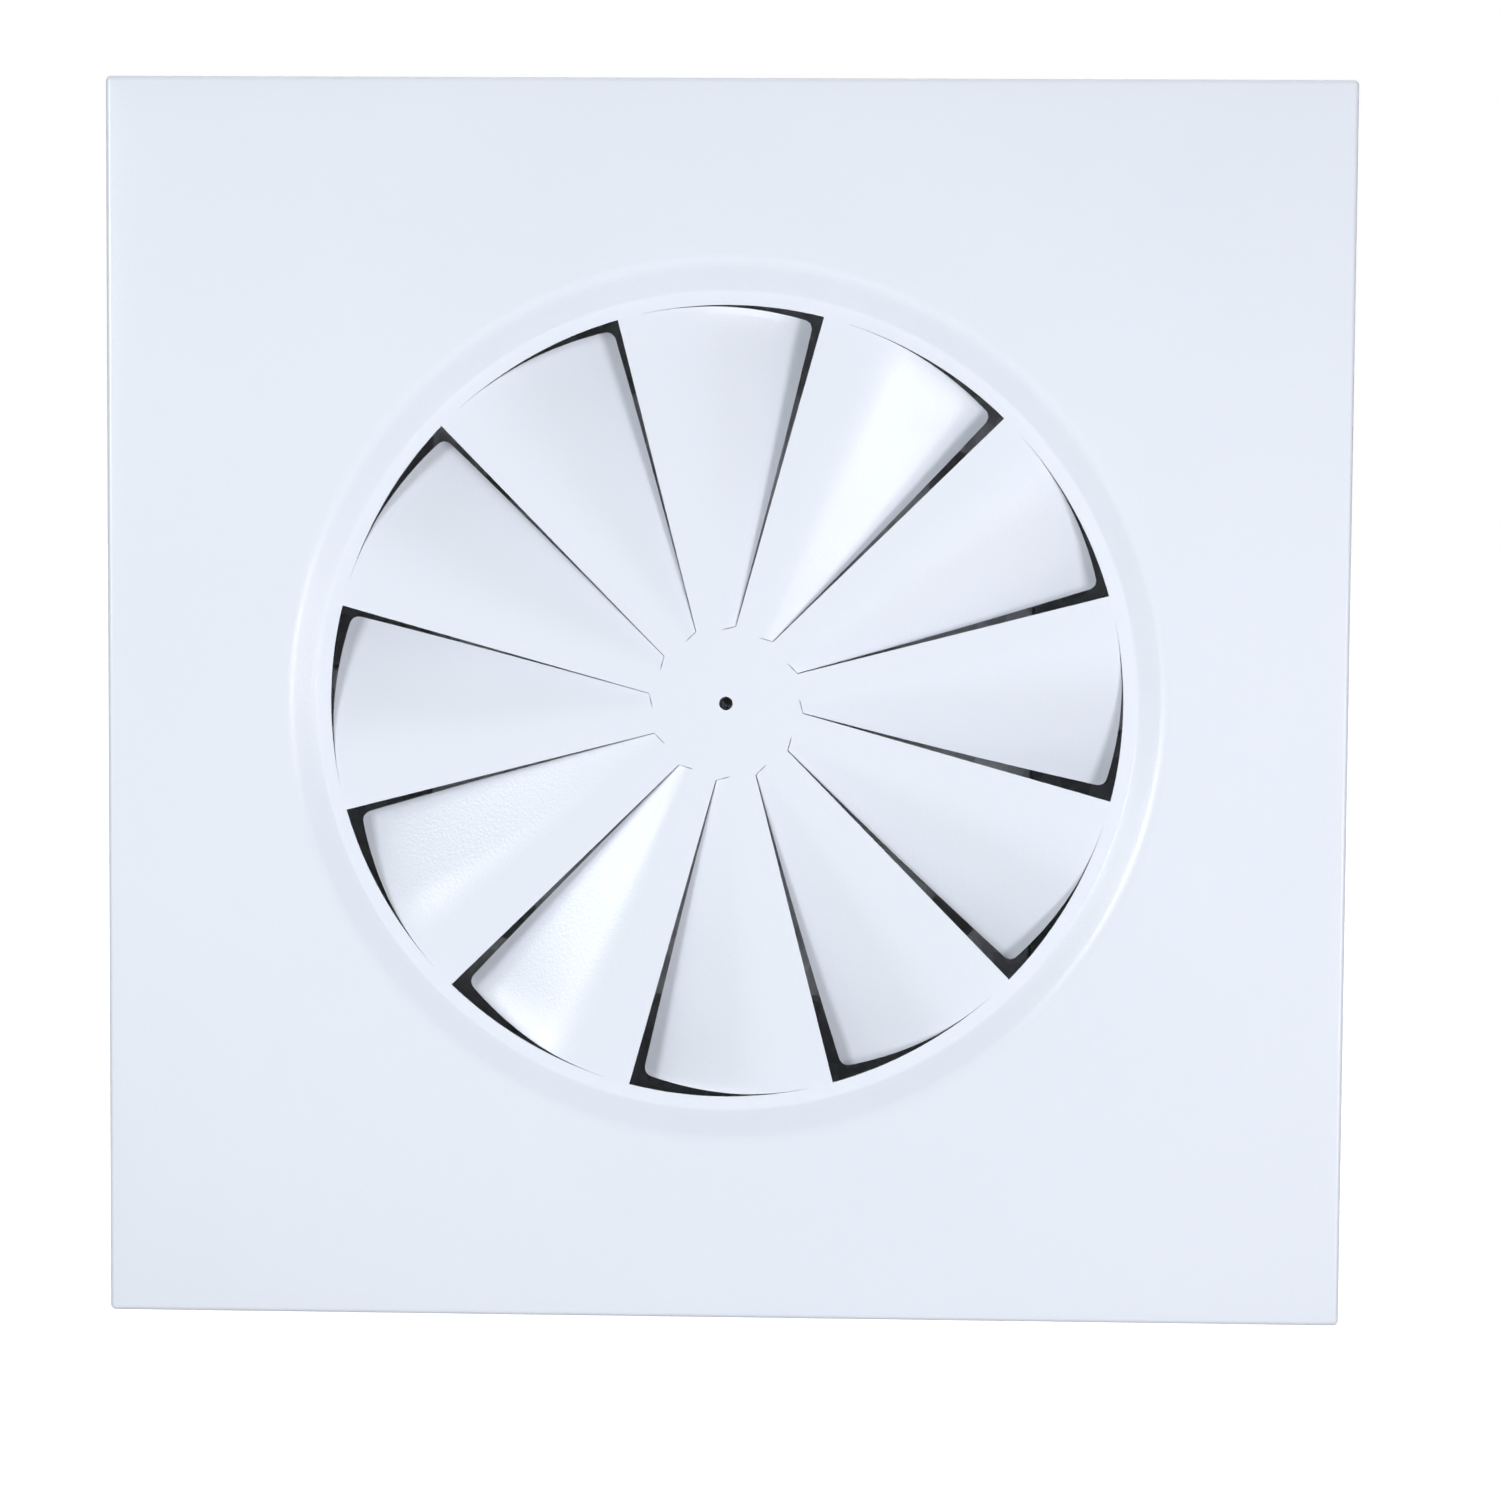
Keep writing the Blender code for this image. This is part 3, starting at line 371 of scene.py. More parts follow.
def square_sweep(profile, half, corner, steps, closed=True):
    """A (distance, depth) profile swept round a square with rounded corners."""
    bm = bmesh.new()
    centre = half - corner
    rings = []
    for distance, depth in profile:
        ring = []
        reach = max(distance - centre, 0.0)
        middle = min(distance, centre)
        for k, (a, b) in enumerate(((1, 1), (-1, 1), (-1, -1), (1, -1))):
            start = 0.5 * math.pi * k
            quarter = arc((a * middle, b * middle), reach, start, start + 0.5 * math.pi, steps)
            ring += [bm.verts.new((x, depth, z)) for x, z in quarter]
        rings.append(ring)
    if closed:
        rings.append(rings[0])
    for first, second in zip(rings, rings[1:]):
        stitch(bm, first, second)
    bmesh.ops.remove_doubles(bm, verts=bm.verts, dist=1e-6)
    bmesh.ops.recalc_face_normals(bm, faces=bm.faces)
    return bm


def pointing(direction):
    """Rotation that turns +Y to the direction."""
    return Vector((0.0, 1.0, 0.0)).rotation_difference(Vector(direction)).to_matrix().to_4x4()


def moved(bm, place, direction=None):
    turn = pointing(direction) if direction else Matrix.Identity(4)
    bmesh.ops.transform(bm, matrix=Matrix.Translation(place) @ turn, verts=bm.verts)
    return bm


def merged(parts):
    whole = bmesh.new()
    for part in parts:
        mesh = bpy.data.meshes.new("merge")
        part.to_mesh(mesh)
        part.free()
        whole.from_mesh(mesh)
        bpy.data.meshes.remove(mesh)
    return whole


def linked(name, data):
    """An object for the data, in the scene's own collection."""
    item = bpy.data.objects.new(name, data)
    bpy.context.scene.collection.objects.link(item)
    return item


def make_object(name, bm, smooth_deg=SMOOTH_DEG):
    """An object whose mesh was made with depths; it is moved to the face plane here."""
    bmesh.ops.translate(bm, vec=(0.0, FACE_Y, 0.0), verts=bm.verts)
    mesh = bpy.data.meshes.new(name)
    bm.to_mesh(mesh)
    bm.free()
    mesh.shade_smooth()
    mesh.set_sharp_from_angle(angle=math.radians(smooth_deg))
    return linked(name, mesh)


def cut(item, tools, operation="DIFFERENCE"):
    """A Boolean with the tools, applied at once so that no cutter is left in the scene."""
    tool = make_object(item.name + "_tool", merged(tools))
    modifier = item.modifiers.new("cut", "BOOLEAN")
    modifier.operation = operation
    modifier.solver = "EXACT"
    modifier.object = tool
    bpy.context.view_layer.update()
    graph = bpy.context.evaluated_depsgraph_get()
    result = bpy.data.meshes.new_from_object(item.evaluated_get(graph))
    item.modifiers.clear()
    item.data = result
    bpy.data.objects.remove(tool)
    item.data.set_sharp_from_angle(angle=math.radians(SMOOTH_DEG))


def add_bevel(item, width, segments=2, angle_deg=40.0):
    bevel = item.modifiers.new("worn_edges", "BEVEL")
    bevel.width = width
    bevel.segments = segments
    bevel.limit_method = "ANGLE"
    bevel.angle_limit = math.radians(angle_deg)
    bevel.harden_normals = True


def finish_piece(item, slot, body, nodes, bevel=0.15 * MM):
    item.data.materials.clear()
    item.data.materials.append(MATERIALS[slot])
    if bevel:
        add_bevel(item, bevel)
    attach(item, body)
    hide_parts(*nodes)
    return item


def add_piece(name, bm, node, bevel=0.0, smooth_deg=SMOOTH_DEG):
    """The whole look of one node, in the node's own slot and on its own body."""
    item = make_object(name, bm, smooth_deg)
    return finish_piece(item, SLOT_OF[node], BODY_OF[node], [node], bevel)


# ---------------------------------------------------------------- materials


class Nodes:
    """Short calls for building one node tree."""

    def __init__(self, tree, place):
        self.tree = tree
        self.place = self.node("TexCoord").outputs[place]

    def node(self, kind, **values):
        made = self.tree.nodes.new("ShaderNode" + kind)
        for key, value in values.items():
            setattr(made, key, value)
        return made

    def join(self, source, target):
        self.tree.links.new(source, target)

    def fill(self, made, **values):
        """Set input values; an underscore in a name stands for a space."""
        for key, value in values.items():
            made.inputs[key.replace("_", " ")].default_value = value

    def scaled(self, scale):
        mapping = self.node("Mapping")
        self.join(self.place, mapping.inputs["Vector"])
        mapping.inputs["Scale"].default_value = scale
        return mapping.outputs["Vector"]

    def noise(self, scale, detail=2.0, roughness=0.5, vector=None):
        made = self.node("TexNoise")
        self.join(vector or self.place, made.inputs["Vector"])
        self.fill(made, Scale=scale, Detail=detail, Roughness=roughness)
        return made.outputs["Fac"]

    def voronoi(self, scale, output="Distance", feature="F1", vector=None):
        made = self.node("TexVoronoi", feature=feature)
        self.join(vector or self.place, made.inputs["Vector"])
        made.inputs["Scale"].default_value = scale
        return made.outputs[output]

    def spread(self, source, low, high, out_low, out_high):
        made = self.node("MapRange", clamp=True)
        self.join(source, made.inputs["Value"])
        self.fill(made, From_Min=low, From_Max=high, To_Min=out_low, To_Max=out_high)
        return made.outputs["Result"]

    def math(self, operation, first, second=None):
        made = self.node("Math", operation=operation)
        for socket, value in zip(made.inputs, (first, second)):
            if value is None:
                continue
            if isinstance(value, (int, float)):
                socket.default_value = value
            else:
                self.join(value, socket)
        return made.outputs["Value"]

    def mix(self, factor, first, second):
        made = self.node("Mix", data_type="RGBA")
        self.join(factor, made.inputs["Factor"])
        for socket, value in zip((made.inputs[6], made.inputs[7]), (first, second)):
            if isinstance(value, tuple):
                socket.default_value = (*value, 1.0)
            else:
                self.join(value, socket)
        return made.outputs[2]

    def bump(self, height, distance, below=None):
        made = self.node("Bump")
        self.join(height, made.inputs["Height"])
        self.fill(made, Strength=1.0, Distance=distance)
        if below is not None:
            self.join(below, made.inputs["Normal"])
        return made.outputs["Normal"]

    def coordinate(self, name):
        made = self.node("SeparateXYZ")
        self.join(self.place, made.inputs["Vector"])
        return made.outputs[name]


class Surface(Nodes):
    """One material, with its texture places in the object's own metres."""

    def __init__(self, name):
        self.material = bpy.data.materials.new(name)
        self.material.use_nodes = True
        super().__init__(self.material.node_tree, "Object")
        self.shader = self.tree.nodes["Principled BSDF"]

    def paint(self, **sources):
        """Join textures to the shader's inputs, named with underscores for spaces."""
        for key, source in sources.items():
            self.join(source, self.shader.inputs[key.replace("_", " ")])


def powder_coat():
    n = Surface("white_powder_coat")
    cloud = n.spread(n.noise(5.0, 3.0), 0.35, 0.65, 0.0, 1.0)
    colour = n.mix(cloud, (0.778, 0.822, 0.905), (0.792, 0.836, 0.919))
    # Sparse dust specks under the coat
    specks = n.spread(n.voronoi(11.0), 0.0035, 0.0055, 1.0, 0.0)
    colour = n.mix(n.math("MULTIPLY", specks, 0.45), colour, (0.30, 0.30, 0.32))
    # Faint rubbed marks
    rub = n.spread(n.noise(34.0, 6.0, 0.7, n.scaled((1.0, 1.0, 0.22))), 0.66, 0.74, 0.0, 0.10)
    colour = n.mix(rub, colour, (0.70, 0.72, 0.77))
    # Mitre seams where the lips meet at the corners
    x = n.math("ABSOLUTE", n.coordinate("X"))
    z = n.math("ABSOLUTE", n.coordinate("Z"))
    apart = n.math("ABSOLUTE", n.math("SUBTRACT", x, z))
    seam = n.spread(apart, 0.00015, 0.0005, 1.0, 0.0)
    folded = n.spread(n.coordinate("Y"), FACE_Y + 0.0012, FACE_Y + 0.0026, 0.0, 1.0)
    outside = n.spread(x, 0.28, 0.285, 0.0, 1.0)
    seam = n.math("MULTIPLY", n.math("MULTIPLY", seam, folded), outside)
    colour = n.mix(n.math("MULTIPLY", seam, 0.75), colour, (0.20, 0.21, 0.24))
    rough = n.spread(n.noise(9.0, 4.0), 0.3, 0.7, 0.305, 0.35)
    rough = n.math("ADD", rough, n.math("MULTIPLY", rub, 0.6))
    # Slow waves, orange peel, and a fine grain
    peel = n.noise(760.0, 1.5, 0.5)
    fine = n.noise(2600.0, 1.0, 0.5)
    wave = n.noise(14.0, 1.0, 0.4)
    normal = n.bump(wave, 0.0003)
    normal = n.bump(peel, 0.000085, normal)
    normal = n.bump(fine, 0.000008, normal)
    n.paint(Base_Color=colour, Roughness=rough, Normal=normal)
    return n.material


def galvanised():
    n = Surface("galvanised_steel")
    drift = n.noise(28.0, 3.0, 0.6)
    bent = n.node("VectorMath", operation="ADD")
    shift = n.node("VectorMath", operation="SCALE")
    centred = n.node("CombineXYZ")
    offset = n.math("SUBTRACT", drift, 0.5)
    for socket in centred.inputs:
        n.join(offset, socket)
    n.join(centred.outputs["Vector"], shift.inputs[0])
    shift.inputs["Scale"].default_value = 0.02
    n.join(n.place, bent.inputs[0])
    n.join(shift.outputs["Vector"], bent.inputs[1])
    warped = bent.outputs["Vector"]
    cells = n.node("SeparateColor")
    n.join(n.voronoi(95.0, "Color", vector=warped), cells.inputs["Color"])
    crystal = cells.outputs["Red"]
    feather = n.noise(900.0, 3.0, 0.6, n.scaled((1.0, 0.35, 0.35)))
    grain = n.math("ADD", n.math("MULTIPLY", crystal, 0.75), n.math("MULTIPLY", feather, 0.35))
    colour = n.mix(n.spread(grain, 0.15, 0.95, 0.0, 1.0), (0.46, 0.465, 0.47), (0.67, 0.68, 0.685))
    streak = n.spread(n.noise(7.0, 5.0, 0.6, n.scaled((1.0, 1.0, 0.3))), 0.45, 0.75, 0.0, 0.5)
    colour = n.mix(streak, colour, (0.52, 0.525, 0.53))
    # White bloom and handling marks
    bloom = n.spread(n.noise(22.0, 8.0, 0.72), 0.62, 0.74, 0.0, 0.35)
    colour = n.mix(bloom, colour, (0.74, 0.75, 0.755))
    rough = n.spread(cells.outputs["Green"], 0.0, 1.0, 0.38, 0.52)
    rough = n.math("ADD", rough, n.math("MULTIPLY", bloom, 0.6))
    n.fill(n.shader, Metallic=1.0)
    edges = n.spread(n.voronoi(95.0, feature="DISTANCE_TO_EDGE", vector=warped), 0.0, 0.06, 0.0, 1.0)
    normal = n.bump(edges, 0.000012)
    normal = n.bump(n.noise(16.0, 2.0), 0.0005, normal)
    normal = n.bump(feather, 0.000010, normal)
    n.paint(Base_Color=colour, Roughness=rough, Normal=normal)
    return n.material


def zinc_plated():
    n = Surface("zinc_plated_steel")
    tint = n.spread(n.noise(120.0, 3.0), 0.35, 0.65, 0.0, 1.0)
    colour = n.mix(tint, (0.64, 0.665, 0.70), (0.72, 0.72, 0.705))
    rubbed = n.spread(n.noise(700.0, 5.0, 0.7), 0.6, 0.72, 0.0, 0.5)
    colour = n.mix(rubbed, colour, (0.55, 0.56, 0.57))
    rough = n.spread(n.noise(300.0, 4.0), 0.3, 0.7, 0.20, 0.36)
    n.fill(n.shader, Metallic=1.0)
    n.paint(Base_Color=colour, Roughness=rough, Normal=n.bump(n.noise(1500.0, 3.0, 0.6), 0.000010))
    return n.material


def foam():
    n = Surface("black_foam")
    cell = n.voronoi(1100.0)
    colour = n.mix(n.spread(cell, 0.1, 0.7, 0.0, 1.0), (0.012, 0.012, 0.013), (0.045, 0.045, 0.048))
    rough = n.spread(n.noise(60.0, 3.0), 0.3, 0.7, 0.82, 0.96)
    n.paint(Base_Color=colour, Roughness=rough, Normal=n.bump(cell, 0.00025))
    return n.material


def nylon():
    n = Surface("white_nylon")
    tint = n.spread(n.noise(90.0, 3.0), 0.3, 0.7, 0.0, 1.0)
    colour = n.mix(tint, (0.76, 0.75, 0.69), (0.82, 0.81, 0.76))
    rough = n.spread(n.noise(400.0, 3.0), 0.3, 0.7, 0.38, 0.52)
    n.fill(n.shader, Subsurface_Weight=0.12, Subsurface_Radius=(0.004, 0.003, 0.002))
    n.paint(Base_Color=colour, Roughness=rough, Normal=n.bump(n.noise(1800.0, 2.0), 0.00002))
    return n.material


# ---------------------------------------------------------------- face plate


def recess_profile():
    """Front-surface (radius, depth) points from the plate down to the cut circle."""
    points = []
    for i in range(ROLL_ROWS + 1):
        angle = SLOPE * i / ROLL_ROWS
        radius = ROLL_START - ROLL_RADIUS * math.sin(angle)
        points.append((radius, ROLL_RADIUS * (1.0 - math.cos(angle))))
    top_radius, top_depth = points[-1]
    foot_radius = RING_OUTER + FILLET_RADIUS * math.sin(SLOPE)
    foot_depth = top_depth + (top_radius - foot_radius) * math.tan(SLOPE)
    for i in range(1, SLOPE_ROWS + 1):
        share = i / SLOPE_ROWS
        radius = top_radius + (foot_radius - top_radius) * share
        points.append((radius, top_depth + (foot_depth - top_depth) * share))
    floor = foot_depth + FILLET_RADIUS * (1.0 - math.cos(SLOPE))
    for i in range(1, FILLET_ROWS + 1):
        angle = SLOPE * (1.0 - i / FILLET_ROWS)
        radius = RING_OUTER + FILLET_RADIUS * math.sin(angle)
        points.append((radius, floor - FILLET_RADIUS * (1.0 - math.cos(angle))))
    for i in range(1, RING_ROWS + 1):
        points.append((RING_OUTER + (CUT_RADIUS - RING_OUTER) * i / RING_ROWS, floor))
    return points


def spoke_point(index, along, across, depth):
    azimuth = SPOKE_AZIMUTH - index * PITCH
    x = along * math.cos(azimuth) + across * math.sin(azimuth)
    z = along * math.sin(azimuth) - across * math.cos(azimuth)
    return (x, depth, z)


def kerf_at(share):
    return KERF_START + (KERF - KERF_START) * smoothstep(share / KERF_OPENS)


def rounded_corner(from_edge, from_side):
    """Pull a point near the free corner inside a rounded corner."""
    if from_edge >= CORNER_ROUND or from_side >= CORNER_ROUND:
        return from_edge, from_side
    a = 1.0 - from_edge / CORNER_ROUND
    b = 1.0 - from_side / CORNER_ROUND
    a_round = a * math.sqrt(1.0 - 0.5 * b * b)
    b_round = b * math.sqrt(1.0 - 0.5 * a * a)
    return CORNER_ROUND * (1.0 - a_round), CORNER_ROUND * (1.0 - b_round)


def blade_point(row, share, floor, twist):
    """A point of the bent blade: row 0..1 hub to rim, share 0..1 bend line to free edge."""
    kerf = kerf_at(share)
    inner = HUB_CUT + 0.5 * kerf
    outer = CUT_RADIUS - kerf
    hinge_along = inner + (math.sqrt(outer**2 - SPOKE_BEND_SIDE**2) - inner) * row
    free_side = SPOKE_CUT_SIDE + KERF
    free_inner = (inner - free_side * math.sin(PITCH)) / math.cos(PITCH)
    free_along = free_inner + (math.sqrt(outer**2 - free_side**2) - free_inner) * row
    start_radius = math.hypot(hinge_along, SPOKE_BEND_SIDE)
    start_angle = math.atan2(SPOKE_BEND_SIDE, hinge_along)
    end_radius = math.hypot(free_along, free_side)
    end_angle = PITCH - math.atan2(free_side, free_along)
    radius = start_radius + (end_radius - start_radius) * share
    angle = start_angle + (end_angle - start_angle) * share
    from_edge = outer - radius
    from_side = radius * (end_angle - angle)
    edge_now, side_now = rounded_corner(from_edge, from_side)
    radius -= edge_now - from_edge
    angle -= (side_now - from_side) / radius
    along = radius * math.cos(angle)
    across = radius * math.sin(angle)
    reach = across - SPOKE_BEND_SIDE
    bend = BEND_RATIO * along
    full = BEND_ANGLE * twist * (HUB_BEND_SHARE + (1.0 - HUB_BEND_SHARE) * row)
    turn = min(reach / bend, full)
    straight = reach - bend * turn
    shifted = SPOKE_BEND_SIDE + bend * math.sin(turn) + straight * math.cos(turn)
    sink = bend * (1.0 - math.cos(turn)) + straight * math.sin(turn)
    if from_edge < CURL_REACH:
        sink -= CURL_RISE * (1.0 - from_edge / CURL_REACH) ** 2 * smoothstep(1.6 * share)
    return (along, shifted, floor + max(sink, 0.0))


def border_sink(x, z):
    """Slow waves of the thin sheet, never in front of the face plane."""
    wave = math.sin(9.0 * x + 1.3) * math.sin(7.0 * z + 0.4) + 0.5 * math.sin(15.0 * z - 4.0 * x)
    edge = PLATE_HALF - EDGE_RADIUS - max(abs(x), abs(z))
    inside = smoothstep(edge / WAVE_FROM_EDGE)
    inside *= smoothstep((math.hypot(x, z) - ROLL_START) / WAVE_FROM_ROLL)
    return WAVE * 0.5 * (1.5 + wave) / 1.5 * inside


def square_reach(azimuth, half):
    """Where a ray from the centre meets the square."""
    c, s = math.cos(azimuth), math.sin(azimuth)
    scale = half / max(abs(c), abs(s))
    return (scale * c, scale * s)


def add_spoke(bm, k, floor, twist):
    """A flat spoke as lines of vertices, from its bend line across to its cut side."""
    hub_inner = HUB_CUT - 0.5 * KERF_START
    cut_inner = (hub_inner - SPOKE_CUT_SIDE * math.sin(PITCH)) / math.cos(PITCH)
    cut_outer = math.sqrt(CUT_RADIUS**2 - SPOKE_CUT_SIDE**2)
    bend_outer = math.sqrt(CUT_RADIUS**2 - SPOKE_BEND_SIDE**2)
    bend_side = [bm.verts.new(spoke_point(k, hub_inner, SPOKE_BEND_SIDE, floor))]
    for row in BLADE_ROWS:
        bend_side.append(bm.verts.new(spoke_point(k, *blade_point(row, 0.0, floor, twist))))
    bend_side.append(bm.verts.new(spoke_point(k, bend_outer, SPOKE_BEND_SIDE, floor)))
    lines = [bend_side]
    steps = len(bend_side) - 1
    for step in range(1, SPOKE_STEPS + 1):
        line = []
        for i in range(steps + 1):
            along = cut_inner + (cut_outer - cut_inner) * i / steps
            end = Vector(spoke_point(k, along, -SPOKE_CUT_SIDE, floor))
            point = bend_side[i].co.lerp(end, step / SPOKE_STEPS)
            if i == steps:
                azimuth = math.atan2(point.z, point.x)
                point = Vector(round_spot(CUT_RADIUS, azimuth, floor))
            line.append(bm.verts.new(point))
        lines.append(line)
    for near, far in zip(lines, lines[1:]):
        for i in range(steps):
            bm.faces.new((far[i], far[i + 1], near[i + 1], near[i]))
    return lines


def add_blade(bm, k, bend_side, floor, twist):
    """The blade that is bent back along a spoke's bend line."""
    grid = []
    for row, root in zip(BLADE_ROWS, bend_side[1:]):
        line = [root]
        for share in BLADE_COLUMNS[1:]:
            line.append(bm.verts.new(spoke_point(k, *blade_point(row, share, floor, twist))))
        grid.append(line)
    for lower, upper in zip(grid, grid[1:]):
        for i in range(len(lower) - 1):
            bm.faces.new((lower[i], upper[i], upper[i + 1], lower[i + 1]))


def extend_rings(bm, k, lines, profile, rings):
    """Ring columns: across the spoke's end, then along the blade's outer edge."""
    ends = [line[-1] for line in reversed(lines)]
    spoke_azimuths = [math.atan2(v.co.z, v.co.x) for v in ends]
    first = SPOKE_AZIMUTH - k * PITCH - math.asin(SPOKE_BEND_SIDE / CUT_RADIUS)
    last = SPOKE_AZIMUTH - (k + 1) * PITCH + math.asin(SPOKE_CUT_SIDE / CUT_RADIUS)
    step = (last - first) / RING_COLUMNS
    open_azimuths = [first + step * i for i in range(1, RING_COLUMNS)]
    for ring, (radius, depth) in zip(rings, profile):
        columns = spoke_azimuths + open_azimuths
        if ring is rings[-1]:
            ring.extend(ends)
            columns = open_azimuths
        for azimuth in columns:
            ring.append(bm.verts.new(round_spot(radius, azimuth, depth)))


def add_hub(bm, rim, floor):
    """The flat hub, from the spokes' roots in to its centre hole."""
    previous = rim
    for row in range(1, HUB_ROWS + 1):
        ring = []
        for vertex in rim:
            azimuth = math.atan2(vertex.co.z, vertex.co.x)
            hole = Vector(round_spot(HOLE_RADIUS, azimuth, floor))
            ring.append(bm.verts.new(vertex.co.lerp(hole, row / HUB_ROWS)))
        stitch(bm, ring, previous)
        previous = ring


def face_plate_mesh():
    rng = random.Random(SEED)
    bm = bmesh.new()
    profile = recess_profile()
    floor = profile[-1][1]
    rim = []
    rings = [[] for _ in profile]
    for k in range(BLADES):
        twist = 1.0 + rng.uniform(-TWIST_SPREAD, TWIST_SPREAD)
        lines = add_spoke(bm, k, floor, twist)
        add_blade(bm, k, lines[0], floor, twist)
        extend_rings(bm, k, lines, profile, rings)
        rim.extend(line[0] for line in reversed(lines))
    for outer, inner in zip(rings, rings[1:]):
        stitch(bm, inner, outer)
    add_hub(bm, rim, floor)
    add_border(bm, rings[0])
    bmesh.ops.recalc_face_normals(bm, faces=bm.faces)
    bm.faces.ensure_lookup_table()
    if bm.faces[0].normal.y > 0.0:
        bmesh.ops.reverse_faces(bm, faces=bm.faces)
    return bm


def add_border(bm, inner_loop):
    """The flat border, out to the square, with its rounded edges and folded lips."""
    flat_half = PLATE_HALF - EDGE_RADIUS
    azimuths = [math.atan2(v.co.z, v.co.x) for v in inner_loop]
    corner_at = {}
    for quarter in range(4):
        diagonal = math.pi / 4.0 + quarter * math.pi / 2.0
        gaps = [abs(math.remainder(a - diagonal, 2.0 * math.pi)) for a in azimuths]
        corner_at[gaps.index(min(gaps))] = diagonal
    reaches = [square_reach(corner_at.get(i, azimuth), flat_half) for i, azimuth in enumerate(azimuths)]
    targets = [Vector((x, 0.0, z)) for x, z in reaches]
    previous = inner_loop
    for row in range(1, BORDER_ROWS + 1):
        share = row / BORDER_ROWS
        ring = []
        for vertex, target in zip(inner_loop, targets):
            point = vertex.co.lerp(target, share)
            point.y = border_sink(point.x, point.z)
            ring.append(bm.verts.new(point))
        stitch(bm, previous, ring)
        previous = ring

    # Rounded edge: straight columns keep their place, corner columns open into a fan
    columns = []
    for i, vertex in enumerate(previous):
        x, z = vertex.co.x, vertex.co.z
        if i in corner_at:
            middle = corner_at[i]
            for step in range(CORNER_STEPS + 1):
                turn = math.pi / 4.0 * (1.0 - 2.0 * step / CORNER_STEPS)
                columns.append((vertex, x, z, middle + turn))
        elif abs(x) > abs(z):
            columns.append((vertex, x, z, 0.0 if x > 0 else math.pi))
        else:
            columns.append((vertex, x, z, math.pi / 2.0 if z > 0 else -math.pi / 2.0))
    edge_row = [column[0] for column in columns]
    for row in range(1, EDGE_ROWS + LIP_ROWS + 1):
        if row <= EDGE_ROWS:
            angle = 0.5 * math.pi * row / EDGE_ROWS
            outward = EDGE_RADIUS * math.sin(angle)
            depth = EDGE_RADIUS * (1.0 - math.cos(angle))
        else:
            outward = EDGE_RADIUS
            depth = EDGE_RADIUS + (LIP_DEPTH - EDGE_RADIUS) * (row - EDGE_ROWS) / LIP_ROWS
        ring = []
        for _, x, z, way in columns:
            ring.append(bm.verts.new((x + outward * math.cos(way), depth, z + outward * math.sin(way))))
        stitch(bm, edge_row, ring)
        edge_row = ring


def build_face():
    plate = make_object("swirl_face_plate", face_plate_mesh(), 50.0)
    solidify = plate.modifiers.new("sheet", "SOLIDIFY")
    solidify.thickness = SHEET
    solidify.offset = -1.0
    solidify.use_even_offset = True
    finish_piece(plate, "white_powder_coat", "face", ["face_plate"], 0.0)
    add_bevel(plate, PLATE_BEVEL, 2, 50.0)


# ---------------------------------------------------------------- plenum box


def fold_arc(centre, radius, start, end):
    """A bend of the sheet, from start to end in quarter turns."""
    quarter = 0.5 * math.pi
    return arc(centre, radius, start * quarter, end * quarter, BEND_STEPS)


def build_box():
    rear = PANEL_REAR - BOX_SHEET - GAP
    inside_fold = BOX_FOLD - BOX_SHEET
    centre = (BOX_HALF - BOX_FOLD, BOX_FRONT + BOX_FOLD)
    lip = BOX_HALF - BOX_FLANGE
    profile = [(BOX_HALF, rear)] + fold_arc(centre, BOX_FOLD, 0.0, -1.0)
    profile += [(lip, BOX_FRONT), (lip, BOX_FRONT + BOX_SHEET)]
    profile += fold_arc(centre, inside_fold, -1.0, 0.0)
    profile.append((BOX_HALF - BOX_SHEET, rear))
    wrap = square_sweep(profile, BOX_HALF, BOX_CORNER, 6)
    add_piece("plenum_wrap", wrap, "box_wrap", 0.2 * MM)

    half = BOX_HALF + GAP + BOX_SHEET
    centre = (half - BOX_FOLD, PANEL_REAR - BOX_FOLD)
    rim_front = PANEL_REAR - TRAY_RIM
    inner = PANEL_FLAT
    profile = [(inner, PANEL_REAR)] + fold_arc(centre, BOX_FOLD, 1.0, 0.0)
    profile += [(half, rim_front), (half - BOX_SHEET, rim_front)]
    profile += fold_arc(centre, inside_fold, 0.0, 1.0)
    profile.append((inner, PANEL_REAR - BOX_SHEET))
    rim = square_sweep(profile, half, BOX_CORNER, 6, closed=False)
    opening = circle((0.0, 0.0), SPIGOT_RADIUS + 2.0 * GAP, 96)
    square = [(inner, inner), (-inner, inner), (-inner, -inner), (inner, -inner)]
    panel = prism(square, PANEL_REAR - BOX_SHEET, PANEL_REAR, "Y", [opening])
    add_piece("plenum_back", merged([rim, panel]), "box_back")


